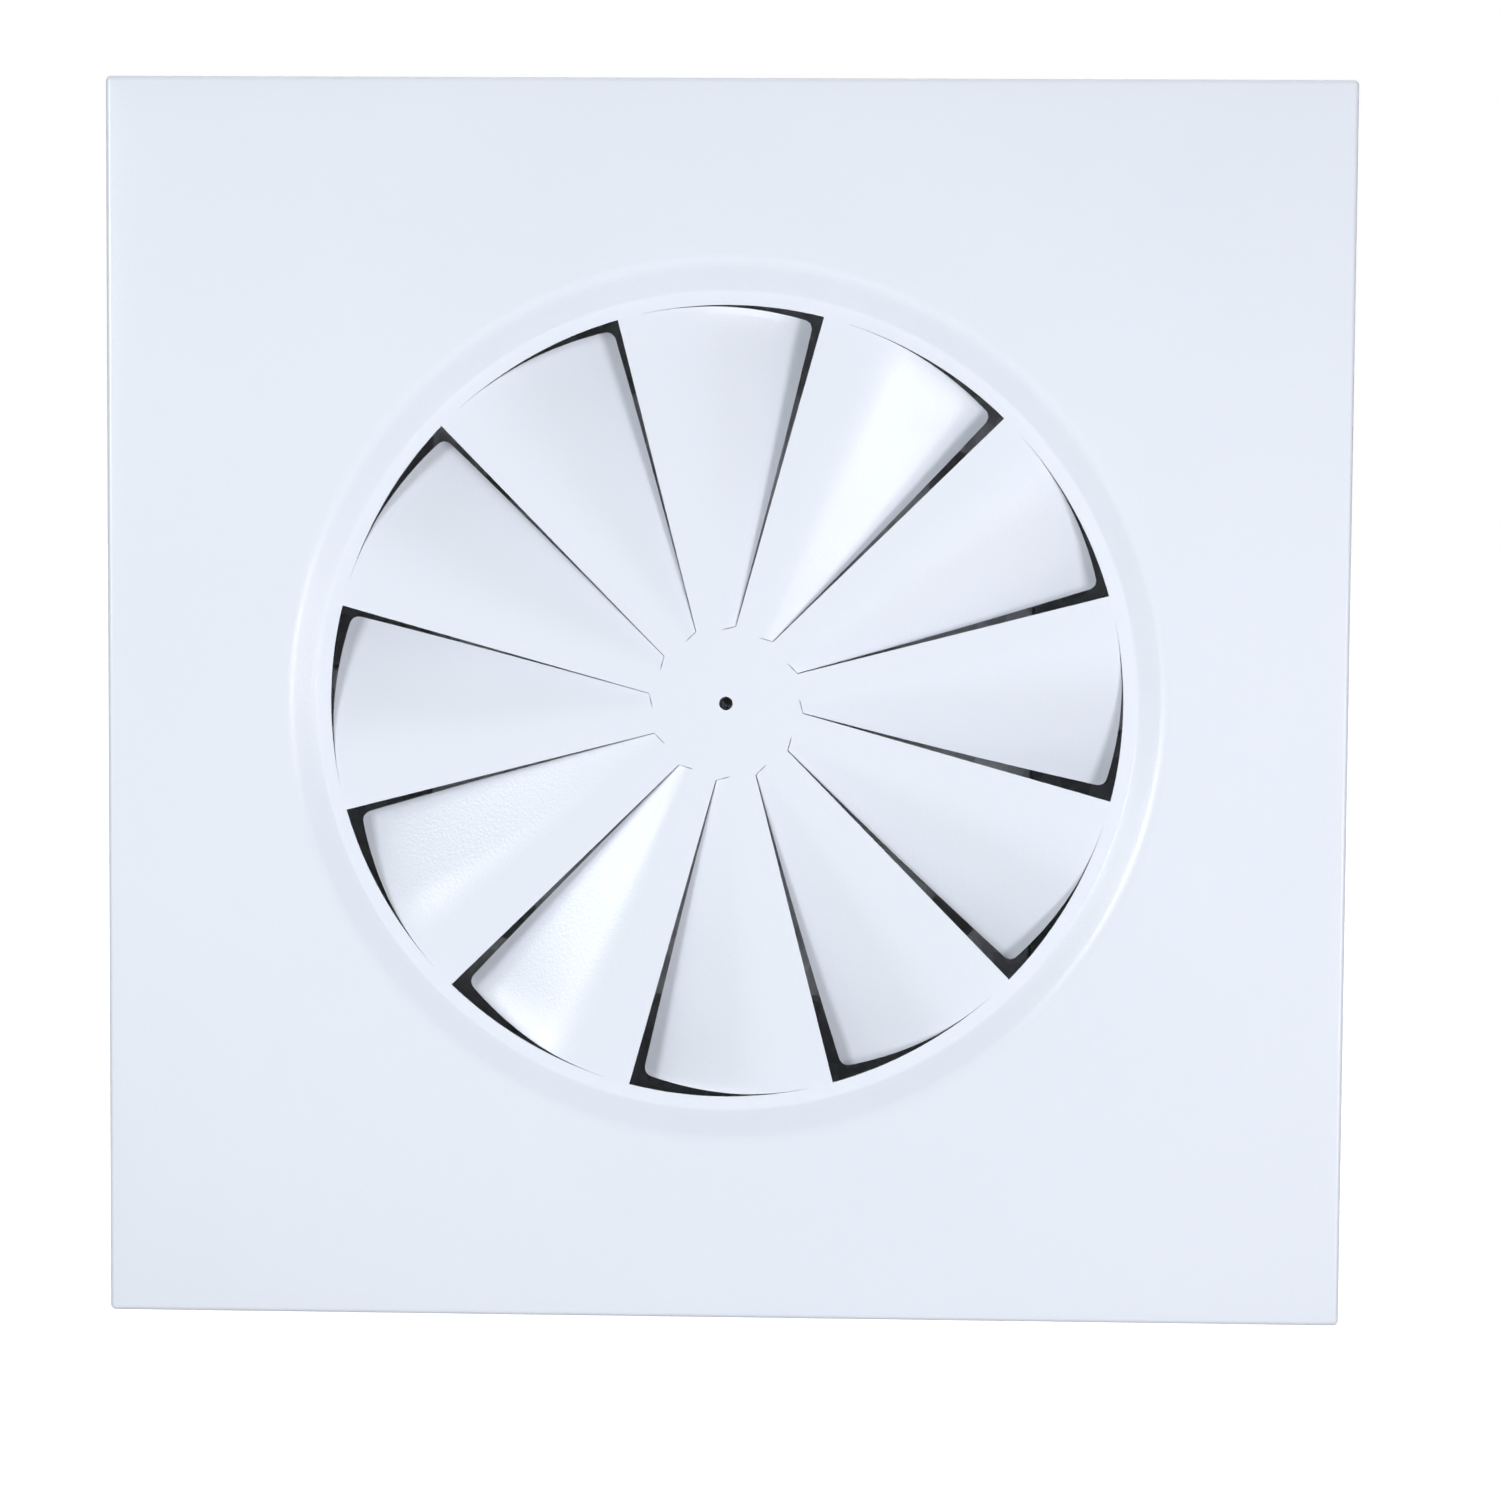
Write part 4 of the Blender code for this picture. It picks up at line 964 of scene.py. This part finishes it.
def build_crossbar():
    half = 0.5 * BAR_WIDTH
    wall = BOX_HALF - BOX_SHEET - GAP
    edge = BAR_FRONT + BAR_EDGE
    path = [(edge, half), (BAR_FRONT, half), (BAR_FRONT, -half), (edge, -half)]
    channel = prism(bent_strip(path, BAR_SHEET, SHEET_BEND), -wall + BAR_SHEET, wall - BAR_SHEET, "X")
    tabs = []
    for side in (-1, 1):
        low = BAR_FRONT + 0.2 * MM
        high = BAR_FRONT + BAR_TAB - BAR_ROUND
        shape = [(low, -half), (high, -half)]
        shape += arc((high, -half + BAR_ROUND), BAR_ROUND, -0.5 * math.pi, 0.0, 6)
        shape += arc((high, half - BAR_ROUND), BAR_ROUND, 0.0, 0.5 * math.pi, 6)
        shape.append((low, half))
        ends = sorted((side * wall, side * (wall - BAR_SHEET)))
        tabs.append(prism(shape, *ends, "X"))
    item = make_object("support_crossbar", merged([channel] + tabs))
    drill = lathe(in_mm(((0.0, -10.0), (4.6, -10.0), (4.6, 10.0), (0.0, 10.0)), BAR_FRONT), 28)
    cut(item, [drill])
    finish_piece(item, "galvanised_steel", "housing", ["crossbar"], 0.15 * MM)
    nut = lathe(in_mm(RIVET_NUT_PROFILE, BAR_FRONT), 40)
    add_piece("centre_rivet_nut", nut, "crossbar_rivet_nut", 0.1 * MM)


def build_baffle():
    half = BAFFLE_HALF
    foot = PANEL_REAR - BOX_SHEET - GAP
    path = [(half + BAFFLE_FOOT, foot), (half, foot), (half, BAFFLE_FRONT)]
    path += [(-a, b) for a, b in reversed(path)]
    item = make_object("air_baffle", prism(bent_strip(path, BOX_SHEET, SHEET_BEND), -half, half, "Z"))
    holes = []
    middle = 0.5 * (BAFFLE_HOLES - 1)
    for i in range(BAFFLE_HOLES):
        for j in range(BAFFLE_HOLES):
            centre = ((i - middle) * BAFFLE_PITCH, (j - middle) * BAFFLE_PITCH)
            if math.hypot(*centre) < BAFFLE_SOLID_RADIUS:
                continue
            hole = circle(centre, BAFFLE_HOLE_RADIUS, 40)
            holes.append(prism(hole, BAFFLE_FRONT - 5.0 * MM, BAFFLE_FRONT + 5.0 * MM, "Y"))
    cut(item, holes)
    finish_piece(item, "galvanised_steel", "housing", ["baffle_plate"], 0.12 * MM)


def corner_tool(centre, way_a, way_b, low, high, axis):
    """What is cut away outside a rounded corner whose arc has this centre."""
    reach = LUG_ROUND + MM
    start = 0.5 * math.pi * way_b
    finish = 0.0 if way_a > 0 else math.pi * way_b
    shape = arc(centre, LUG_ROUND, start, finish, 10)
    a, b = centre[0] + way_a * reach, centre[1] + way_b * reach
    shape += [(a, centre[1]), (a, b), (centre[0], b)]
    return prism(shape, low, high, axis)


def build_lugs():
    low = PANEL_REAR + GAP
    top = low + LUG_HEIGHT
    inner = LUG_CENTRE - 0.5 * LUG_FOOT
    outer = LUG_CENTRE + 0.5 * LUG_FOOT
    outline = bent_strip([(inner, low), (outer, low), (outer, top)], LUG_SHEET, LUG_BEND)
    number = 0
    for side_x in (-1, 1):
        for side_z in (-1, 1):
            number += 1
            middle = side_z * LUG_CENTRE
            shape = [(side_x * a, b) for a, b in outline]
            bm = prism(shape, middle - 0.5 * LUG_LENGTH, middle + 0.5 * LUG_LENGTH, "Z")
            item = make_object(f"suspension_lug_{number}", bm)
            hole = circle((top - LUG_HOLE_SETBACK, middle), LUG_HOLE_RADIUS, 36)
            reach = sorted((side_x * (outer - 8.0 * MM), side_x * (outer + 8.0 * MM)))
            tools = [prism(hole, *reach, "X")]
            for way in (-1, 1):
                end = middle + way * (0.5 * LUG_LENGTH - LUG_ROUND)
                tools.append(corner_tool((top - LUG_ROUND, end), 1, way, *reach, "X"))
                foot = (side_x * (inner + LUG_ROUND), end)
                tools.append(corner_tool(foot, -side_x, way, low - 2.0 * MM, low + 4.0 * MM, "Y"))
            cut(item, tools)
            finish_piece(item, "galvanised_steel", "housing", [f"hanger_lug_{number}"], 0.12 * MM)


# ---------------------------------------------------------------- spigot and damper


def build_spigot():
    outer = SPIGOT_RADIUS
    inner = outer - SPIGOT_SHEET
    start = PANEL_REAR - SPIGOT_INSIDE
    flange_front = PANEL_REAR + GAP
    flange_rear = flange_front + SPIGOT_SHEET
    flange_out = outer + SPIGOT_FLANGE
    bead = []
    for i in range(BEAD_STEPS + 1):
        share = i / BEAD_STEPS
        rise = BEAD_RISE * 0.5 * (1.0 - math.cos(2.0 * math.pi * share))
        bead.append((rise, BEAD_DEPTH + BEAD_HALF * (2.0 * share - 1.0)))
    fillet = (outer + FLANGE_FILLET, flange_rear + FLANGE_FILLET)
    profile = [(inner, start), (outer, start)]
    profile += [(outer, flange_front), (flange_out, flange_front), (flange_out, flange_rear)]
    profile += arc(fillet, FLANGE_FILLET, -0.5 * math.pi, -math.pi, 5)
    profile += [(outer, flange_rear + 20.0 * MM), (outer, BEAD_DEPTH - 20.0 * MM)]
    profile += [(outer + rise, depth) for rise, depth in bead]
    profile += [(outer, SPIGOT_END), (inner, SPIGOT_END)]
    profile += [(inner + rise, depth) for rise, depth in reversed(bead)]
    bm = lathe(profile, SPIGOT_SIDES)
    # Lock seam along the tube, pressed flat near the flange
    for vertex in bm.verts:
        radius = math.hypot(vertex.co.x, vertex.co.z)
        on_tube = -0.2 * MM <= radius - outer <= 2.0 * MM
        if not on_tube or vertex.co.y < flange_rear + 2.0 * MM:
            continue
        azimuth = math.atan2(vertex.co.z, vertex.co.x)
        away = abs(math.remainder(azimuth - SEAM_AZIMUTH, 2.0 * math.pi)) * radius
        rise = SEAM_RISE * smoothstep((SEAM_HALF - away) / SEAM_EDGE)
        vertex.co.x *= 1.0 + rise / radius
        vertex.co.z *= 1.0 + rise / radius
    add_piece("duct_spigot", bm, "spigot", 0.12 * MM)
    for side, name in ((-1, "shaft_bush_left"), (1, "shaft_bush_right")):
        bm = moved(lathe(in_mm(BUSH_PROFILE), 40), (side * outer, SHAFT_DEPTH, 0.0), (side, 0.0, 0.0))
        add_piece(name + "_moulding", bm, name, 0.08 * MM)


def build_quadrant():
    low = PANEL_REAR + GAP
    bottom = QUADRANT_BOTTOM
    centre = (SHAFT_DEPTH, 0.0)
    start = math.asin(bottom / QUADRANT_RADIUS)
    outline = [(low + 0.2 * MM, QUADRANT_RADIUS), (low + 0.2 * MM, bottom)]
    outline += arc(centre, QUADRANT_RADIUS, start, 0.5 * math.pi, 48)
    slot_half = THREAD_RADIUS + 0.6 * MM
    first, last = SLOT_START, SLOT_END
    slot = arc(centre, LOCK_RADIUS + slot_half, first, last, 40)
    start_centre, end_centre = arc(centre, LOCK_RADIUS, first, last, 1)
    slot += arc(end_centre, slot_half, last, last + math.pi, 10)[1:-1]
    slot += arc(centre, LOCK_RADIUS - slot_half, last, first, 40)
    slot += arc(start_centre, slot_half, first + math.pi, first + 2.0 * math.pi, 10)[1:-1]
    shaft_hole = circle(centre, SHAFT_RADIUS + 0.6 * MM, 32)
    near = QUADRANT_X
    web = prism(outline, near, near + QUADRANT_SHEET, "X", [slot, shaft_hole])
    far = near + QUADRANT_FOOT
    path = [(near + 0.1 * MM, low), (far, low)]
    foot = prism(bent_strip(path, QUADRANT_SHEET, 1.0 * MM), bottom, QUADRANT_RADIUS, "Z")
    bm = merged([web, foot])
    add_piece("locking_quadrant", bm, "quadrant_plate", 0.15 * MM)


def threaded(start, end, radius):
    """Profile points of a thread drawn as rings, from start to end."""
    points = []
    level = start
    while level + THREAD_PITCH <= end:
        points.append((radius, level + 0.15 * THREAD_PITCH))
        points.append((radius - THREAD_GROOVE, level + 0.55 * THREAD_PITCH))
        points.append((radius, level + 0.95 * THREAD_PITCH))
        level += THREAD_PITCH
    return points


def thread_tip(end):
    """The chamfered end of an M6 thread."""
    return [(THREAD_RADIUS, end - THREAD_TIP), (THREAD_RADIUS - THREAD_TIP, end), (0.0, end)]


def hexagon_nut(width_radius, height, bore):
    """A hexagon nut along +Y from 0, with chamfered corners."""
    flat = width_radius * math.cos(math.pi / 6.0)
    wide = width_radius * 1.02
    to_face = (0.0, -FACE_Y, 0.0)
    body = prism(circle((0.0, 0.0), width_radius, 6), 0.0, height, "Y", [circle((0.0, 0.0), bore, 24)])
    item = make_object("nut_blank", moved(body, to_face))
    profile = [(0.0, 0.0), (flat, 0.0), (wide, NUT_CHAMFER), (wide, height - NUT_CHAMFER)]
    profile += [(flat, height), (0.0, height)]
    cut(item, [moved(lathe(profile, 48), to_face)], "INTERSECT")
    bm = bmesh.new()
    bm.from_mesh(item.data)
    bpy.data.objects.remove(item)
    return bm


def build_damper():
    centre = Vector((0.0, SHAFT_DEPTH, 0.0))
    shoulder = LEVER_X - GAP
    end = LEVER_X + LEVER_SHEET + 8.5 * MM
    profile = [(0.0, SHAFT_START), (SHAFT_RADIUS - THREAD_TIP, SHAFT_START)]
    profile += [(SHAFT_RADIUS, SHAFT_START + THREAD_TIP), (SHAFT_RADIUS, shoulder - 0.3 * MM)]
    profile += [(SHAFT_RADIUS - 0.3 * MM, shoulder), (THREAD_RADIUS, shoulder)]
    profile += threaded(shoulder + 3.2 * MM, end - 0.8 * MM, THREAD_RADIUS) + thread_tip(end)
    bm = moved(lathe(profile, 32), centre, ALONG_X)
    add_piece("damper_spindle", bm, "damper_shaft")

    inner = SHAFT_RADIUS + GAP
    outer = SHAFT_RADIUS + 3.0 * MM
    ring = arc((0.0, 0.0), outer, CLIP_OPENING, 2.0 * math.pi - CLIP_OPENING, 36)
    ring += arc((0.0, 0.0), inner, 2.0 * math.pi - CLIP_OPENING, CLIP_OPENING, 36)
    bm = moved(prism(ring, -103.4 * MM, -102.4 * MM, "X"), centre)
    add_piece("spindle_clip", bm, "shaft_clip", 0.08 * MM)

    disc = prism(circle((0.0, 0.0), BLADE_RADIUS, 128), inner, inner + BLADE_SHEET, "Z")
    bm = moved(disc, centre)
    add_piece("damper_disc", bm, "damper_blade", 0.25 * MM)

    ear_low = SHAFT_RADIUS - LUG_SHEET
    outer = inner + LUG_SHEET
    saddle = [(CLAMP_EAR, SHAFT_RADIUS), (inner, SHAFT_RADIUS)]
    saddle += arc((0.0, 0.0), inner, 0.0, -math.pi, 20)
    saddle += [(-inner, SHAFT_RADIUS), (-CLAMP_EAR, SHAFT_RADIUS), (-CLAMP_EAR, ear_low), (-outer, ear_low)]
    saddle += arc((0.0, 0.0), outer, -math.pi, 0.0, 20)
    saddle += [(outer, ear_low), (CLAMP_EAR, ear_low)]
    for i, side in enumerate((-1, 1), start=1):
        middle = side * CLAMP_OFFSET
        bm = moved(prism(saddle, middle - CLAMP_HALF, middle + CLAMP_HALF, "X"), centre)
        add_piece(f"blade_saddle_{i}", bm, f"blade_clamp_{i}", 0.2 * MM)
    build_lever(centre)


def build_lever(centre):
    near = LEVER_X
    far = LEVER_X + LEVER_SHEET
    neck = math.asin(LEVER_HALF / LEVER_HUB)
    tip = LEVER_LENGTH - LEVER_HALF
    outline = arc((0.0, 0.0), LEVER_HUB, neck, 2.0 * math.pi - neck, 40)
    outline += arc((tip, 0.0), LEVER_HALF, -0.5 * math.pi, 0.5 * math.pi, 24)
    holes = [circle((along, 0.0), THREAD_RADIUS + 0.35 * MM, 28) for along in (0.0, LOCK_RADIUS)]
    bm = moved(prism(outline, near, far, "X", holes), centre)
    add_piece("damper_lever", bm, "lever", 0.35 * MM)

    bore = THREAD_RADIUS + GAP
    outside = Vector((far + GAP, 0.0, 0.0))
    nut = hexagon_nut(NUT_RADIUS, NUT_HEIGHT, bore)
    add_piece("spindle_nut", moved(nut, centre + outside, ALONG_X), "lever_nut", 0.1 * MM)

    lock = centre + Vector((0.0, LOCK_RADIUS, 0.0))
    head = QUADRANT_X - GAP
    end = far + 12.0 * MM
    profile = [(0.0, head - 3.5 * MM)]
    profile += arc((0.0, head + 3.0 * MM), HEAD_RADIUS, math.radians(-88.0), math.radians(-32.0), 10)
    profile = [(r, max(d, head - 3.5 * MM)) for r, d in profile]
    profile += [(HEAD_RADIUS, head - 0.5 * MM), (HEAD_RADIUS - 0.2 * MM, head), (THREAD_RADIUS, head)]
    profile += threaded(head + 8.0 * MM, end - 0.8 * MM, THREAD_RADIUS) + thread_tip(end)
    bm = moved(lathe(profile, 32), lock, ALONG_X)
    add_piece("locking_bolt", bm, "lock_bolt")

    low = QUADRANT_X + QUADRANT_SHEET + GAP
    high = near - GAP
    washer = lathe([(bore, low), (HEAD_RADIUS, low), (HEAD_RADIUS, high), (bore, high)], 40)
    add_piece("locking_washer", moved(washer, lock, ALONG_X), "lock_washer", 0.1 * MM)
    build_wing_nut(lock + outside)


def build_wing_nut(place):
    """A turned hub with two wings that swell and round off towards their tips."""
    parts = [moved(lathe(in_mm(WING_HUB_PROFILE), 36), place, ALONG_X)]
    for side in (-1, 1):
        bm = bmesh.new()
        rings = []
        for across, rise, half_height in WING_SPINE:
            thick = 1.0 if across < 8.5 else 0.75
            ring = []
            for angle in (2.0 * math.pi * i / WING_SIDES for i in range(WING_SIDES)):
                x = rise + half_height * math.cos(angle) * 0.72
                y = across - half_height * math.cos(angle) * 0.45
                spot = Vector((x, side * y, thick * math.sin(angle)))
                ring.append(bm.verts.new(place + spot * MM))
            rings.append(ring)
        for first, second in zip(rings, rings[1:]):
            stitch(bm, first, second)
        bm.faces.new(rings[0])
        bm.faces.new(rings[-1])
        bmesh.ops.recalc_face_normals(bm, faces=bm.faces)
        parts.append(bm)
    add_piece("locking_wing_nut", merged(parts), "wing_nut", 0.0, 55.0)


# ---------------------------------------------------------------- rivets and screws


def rivet_bm(grip):
    """A blind rivet along +Y with a domed head, the broken mandrel, and a swollen tail."""
    shank = grip + 2.0 * GAP
    profile = [(0.0, -0.75 * MM), (0.75 * MM, -0.80 * MM), (0.85 * MM, -1.22 * MM)]
    for i in range(8):
        angle = math.radians(18.0 + 72.0 * i / 7.0)
        profile.append((RIVET_HEAD * math.sin(angle), -1.28 * MM * math.cos(angle) ** 0.9 - 0.02 * MM))
    profile += [(RIVET_HEAD, 0.0), (RIVET_RADIUS, 0.0), (RIVET_RADIUS, shank)]
    for i in range(1, 8):
        share = i / 8.0
        swell = RIVET_RADIUS * (1.0 + 0.45 * math.sin(math.pi * min(share * 1.2, 1.0)) ** 0.8)
        profile.append((swell, shank + 2.6 * MM * share))
    profile += [(0.8 * MM, shank + 2.7 * MM), (0.0, shank + 2.8 * MM)]
    return lathe(profile, ROUND_SIDES)


def add_rivets(stem, spots, grip):
    """Spots are (place in depths, inward direction)."""
    for i, (place, way) in enumerate(spots, start=1):
        node = f"{stem}_{i}"
        bm = moved(rivet_bm(grip), place, way)
        add_piece(node + "_formed", bm, node, 0.0, 40.0)


def build_rivets():
    forward = (0.0, -1.0, 0.0)
    skin = BOX_HALF + 2.0 * GAP + BOX_SHEET
    depth = PANEL_REAR - 0.5 * TRAY_RIM
    thin = 2.0 * BOX_SHEET + GAP
    thick = BOX_SHEET + LUG_SHEET + GAP
    walls = [
        ((skin, depth, 0.0), (-1.0, 0.0, 0.0)),
        ((-skin, depth, 0.0), (1.0, 0.0, 0.0)),
        ((0.0, depth, skin), (0.0, 0.0, -1.0)),
        ((0.0, depth, -skin), (0.0, 0.0, 1.0)),
    ]
    add_rivets("back_rivet", walls, thin)
    radius = SPIGOT_RADIUS + 0.5 * SPIGOT_FLANGE
    level = PANEL_REAR + 1.0 * MM + 2.0 * GAP
    ring = [(round_spot(radius, math.radians(30.0 + 60.0 * i), level), forward) for i in range(6)]
    add_rivets("spigot_rivet", ring, thin)
    level = PANEL_REAR + LUG_SHEET + 2.0 * GAP
    sides = (-1, 1)
    feet = []
    for side_x in sides:
        for side_z in sides:
            for step in (-12.0 * MM, 12.0 * MM):
                spot = (side_x * (LUG_CENTRE - 4.0 * MM), level, side_z * LUG_CENTRE + step)
                feet.append((spot, forward))
    add_rivets("hanger_rivet", feet, thick)
    quadrant = [((QUADRANT_X + 14.0 * MM, level, z), forward) for z in (0.0, 42.0 * MM)]
    add_rivets("quadrant_rivet", quadrant, thick)
    out = BAFFLE_HALF + 10.0 * MM
    baffle = [((a * out, PANEL_REAR + GAP, b * 100.0 * MM), forward) for a in sides for b in sides]
    add_rivets("baffle_rivet", baffle, thin)
    z = SHAFT_RADIUS - LUG_SHEET - GAP
    spots = [(a * CLAMP_OFFSET, SHAFT_DEPTH + b * CLAMP_RIVET, z) for a in sides for b in sides]
    blade = [(spot, (0.0, 0.0, 1.0)) for spot in spots]
    add_rivets("blade_rivet", blade, LUG_SHEET + GAP + BLADE_SHEET)


def build_screws():
    """Self-drilling screws with a washer head and a hexagon, along +Y."""
    depth = BAR_FRONT + BAR_TAB - 5.0 * MM
    profile = in_mm(((0.0, -0.6), (3.4, -0.6), (4.0, -0.35), (4.0, 0.0)))
    profile += [(SCREW_RADIUS, 0.0)] + threaded(0.8 * MM, 7.4 * MM, SCREW_RADIUS)
    profile += [(SCREW_RADIUS, 7.5 * MM), (0.0, 10.0 * MM)]
    number = 0
    for side in (-1, 1):
        for z in (-9.0 * MM, 9.0 * MM):
            number += 1
            node = f"crossbar_screw_{number}"
            head = prism(circle((0.0, 0.0), 2.9 * MM, 6), -2.4 * MM, -0.5 * MM, "Y")
            place = (side * (BOX_HALF + GAP), depth, z)
            bm = moved(merged([lathe(profile, 24), head]), place, (-side, 0.0, 0.0))
            add_piece(node + "_formed", bm, node, 0.08 * MM)


# ---------------------------------------------------------------- stage


def area_light(name, place, target, size, power, colour=(1.0, 1.0, 1.0)):
    data = bpy.data.lights.new(name, "AREA")
    data.shape = "SQUARE"
    data.size = size
    data.energy = power
    data.color = colour
    lamp = linked(name, data)
    lamp.location = place
    way = Vector(target) - Vector(place)
    lamp.rotation_euler = way.to_track_quat("-Z", "Y").to_euler()
    lamp.visible_camera = False
    return lamp


def light_offset(azimuth, tilt):
    side = FRONT_DISTANCE * math.sin(tilt)
    return Vector((side * math.cos(azimuth), -FRONT_DISTANCE * math.cos(tilt), side * math.sin(azimuth)))


def build_lights():
    face = Vector((0.0, FACE_Y, 0.0))
    for name, azimuth, power, sheen, colour in (
        ("softbox_right", RIGHT_AZIMUTH, RIGHT_POWER, RIGHT_SHEEN, RIGHT_COLOUR),
        ("softbox_left", LEFT_AZIMUTH, LEFT_POWER, LEFT_SHEEN, LEFT_COLOUR),
    ):
        place = face + light_offset(azimuth, FRONT_TILT)
        area_light(name, place, face, FRONT_SIZE, power, colour).visible_glossy = False
        place = face + light_offset(azimuth, SHEEN_TILT)
        area_light(name + "_sheen", place, face, SHEEN_SIZE, sheen, colour).visible_diffuse = False
    front = area_light("softbox_front", FRONT_PLACE, face, FRONT_SOFT, FRONT_POWER)
    front.visible_glossy = False
    target = (0.0, 0.1, 0.0)
    for name, place, size, power in SOFT_LIGHTS:
        area_light(name, place, target, size, power)


def world_ramp(n, height, stops):
    ramp = n.node("ValToRGB")
    n.join(height, ramp.inputs["Fac"])
    elements = ramp.color_ramp.elements
    elements[0].color = (*stops[0][1], 1.0)
    elements[1].color = (*stops[-1][1], 1.0)
    for place, colour in stops[1:-1]:
        elements.new(place).color = (*colour, 1.0)
    return ramp.outputs["Color"]


def build_world():
    """White behind the object, a soft grey room in reflections, and a weak fill."""
    world = bpy.data.worlds.new("studio")
    bpy.context.scene.world = world
    world.use_nodes = True
    n = Nodes(world.node_tree, "Generated")
    path = n.node("LightPath")
    height = n.spread(n.coordinate("Z"), -1.0, 1.0, 0.0, 1.0)
    shine = world_ramp(n, height, SHINE_STOPS)
    fill = world_ramp(n, height, FILL_STOPS)
    colour = n.mix(path.outputs["Is Glossy Ray"], fill, shine)
    colour = n.mix(path.outputs["Is Camera Ray"], colour, (1.0, 1.0, 1.0))
    back = n.tree.nodes["Background"]
    n.fill(back, Strength=1.0)
    n.join(colour, back.inputs["Color"])


def build_floor():
    bm = bmesh.new()
    bmesh.ops.create_grid(bm, x_segments=FLOOR_STEPS, y_segments=FLOOR_STEPS, size=FLOOR_HALF)
    mesh = bpy.data.meshes.new("studio_floor")
    bm.to_mesh(mesh)
    bm.free()
    floor = linked("studio_floor", mesh)
    floor.location = (0.0, 0.0, FLOOR_Z - 0.2 * MM)
    n = Surface("studio_floor")
    colour = n.mix(n.noise(3.0, 3.0), (0.86, 0.86, 0.865), (0.89, 0.89, 0.895))
    n.fill(n.shader, Roughness=0.75, Emission_Color=(1.0, 1.0, 1.0, 1.0))
    away = n.node("VectorMath", operation="LENGTH")
    n.join(n.place, away.inputs[0])
    glow = n.spread(away.outputs["Value"], FLOOR_NEAR, FLOOR_FAR, FLOOR_GLOW, 1.0)
    n.paint(Base_Color=colour, Emission_Strength=glow)
    mesh.materials.append(n.material)
    floor.visible_diffuse = False
    floor.visible_shadow = False


def build_camera():
    data = bpy.data.cameras.new("view")
    data.lens = CAMERA_LENS
    data.sensor_width = CAMERA_SENSOR
    data.clip_end = 60.0
    camera = linked("view", data)
    camera.location = CAMERA_PLACE
    camera.rotation_euler = [math.radians(a) for a in CAMERA_TURN_DEG]
    bpy.context.scene.camera = camera


MATERIALS = {
    "white_powder_coat": powder_coat(),
    "galvanised_steel": galvanised(),
    "zinc_plated_steel": zinc_plated(),
    "black_foam": foam(),
    "white_nylon": nylon(),
}
RECORD = frame["record"]
SLOT_OF = {part["node"]: part["material_slot"] for part in RECORD["subparts"]}
BODY_OF = {node: body for body, nodes in RECORD["behaviour"]["bodies"].items() for node in nodes}
for node_name, node in frame["nodes"].items():
    node.data.materials.clear()
    node.data.materials.append(MATERIALS[SLOT_OF[node_name]])

build_face()
build_box()
build_crossbar()
build_baffle()
build_lugs()
build_spigot()
build_quadrant()
build_damper()
build_rivets()
build_screws()
build_lights()
build_world()
build_floor()
build_camera()
bpy.context.scene.view_settings.view_transform = "Standard"
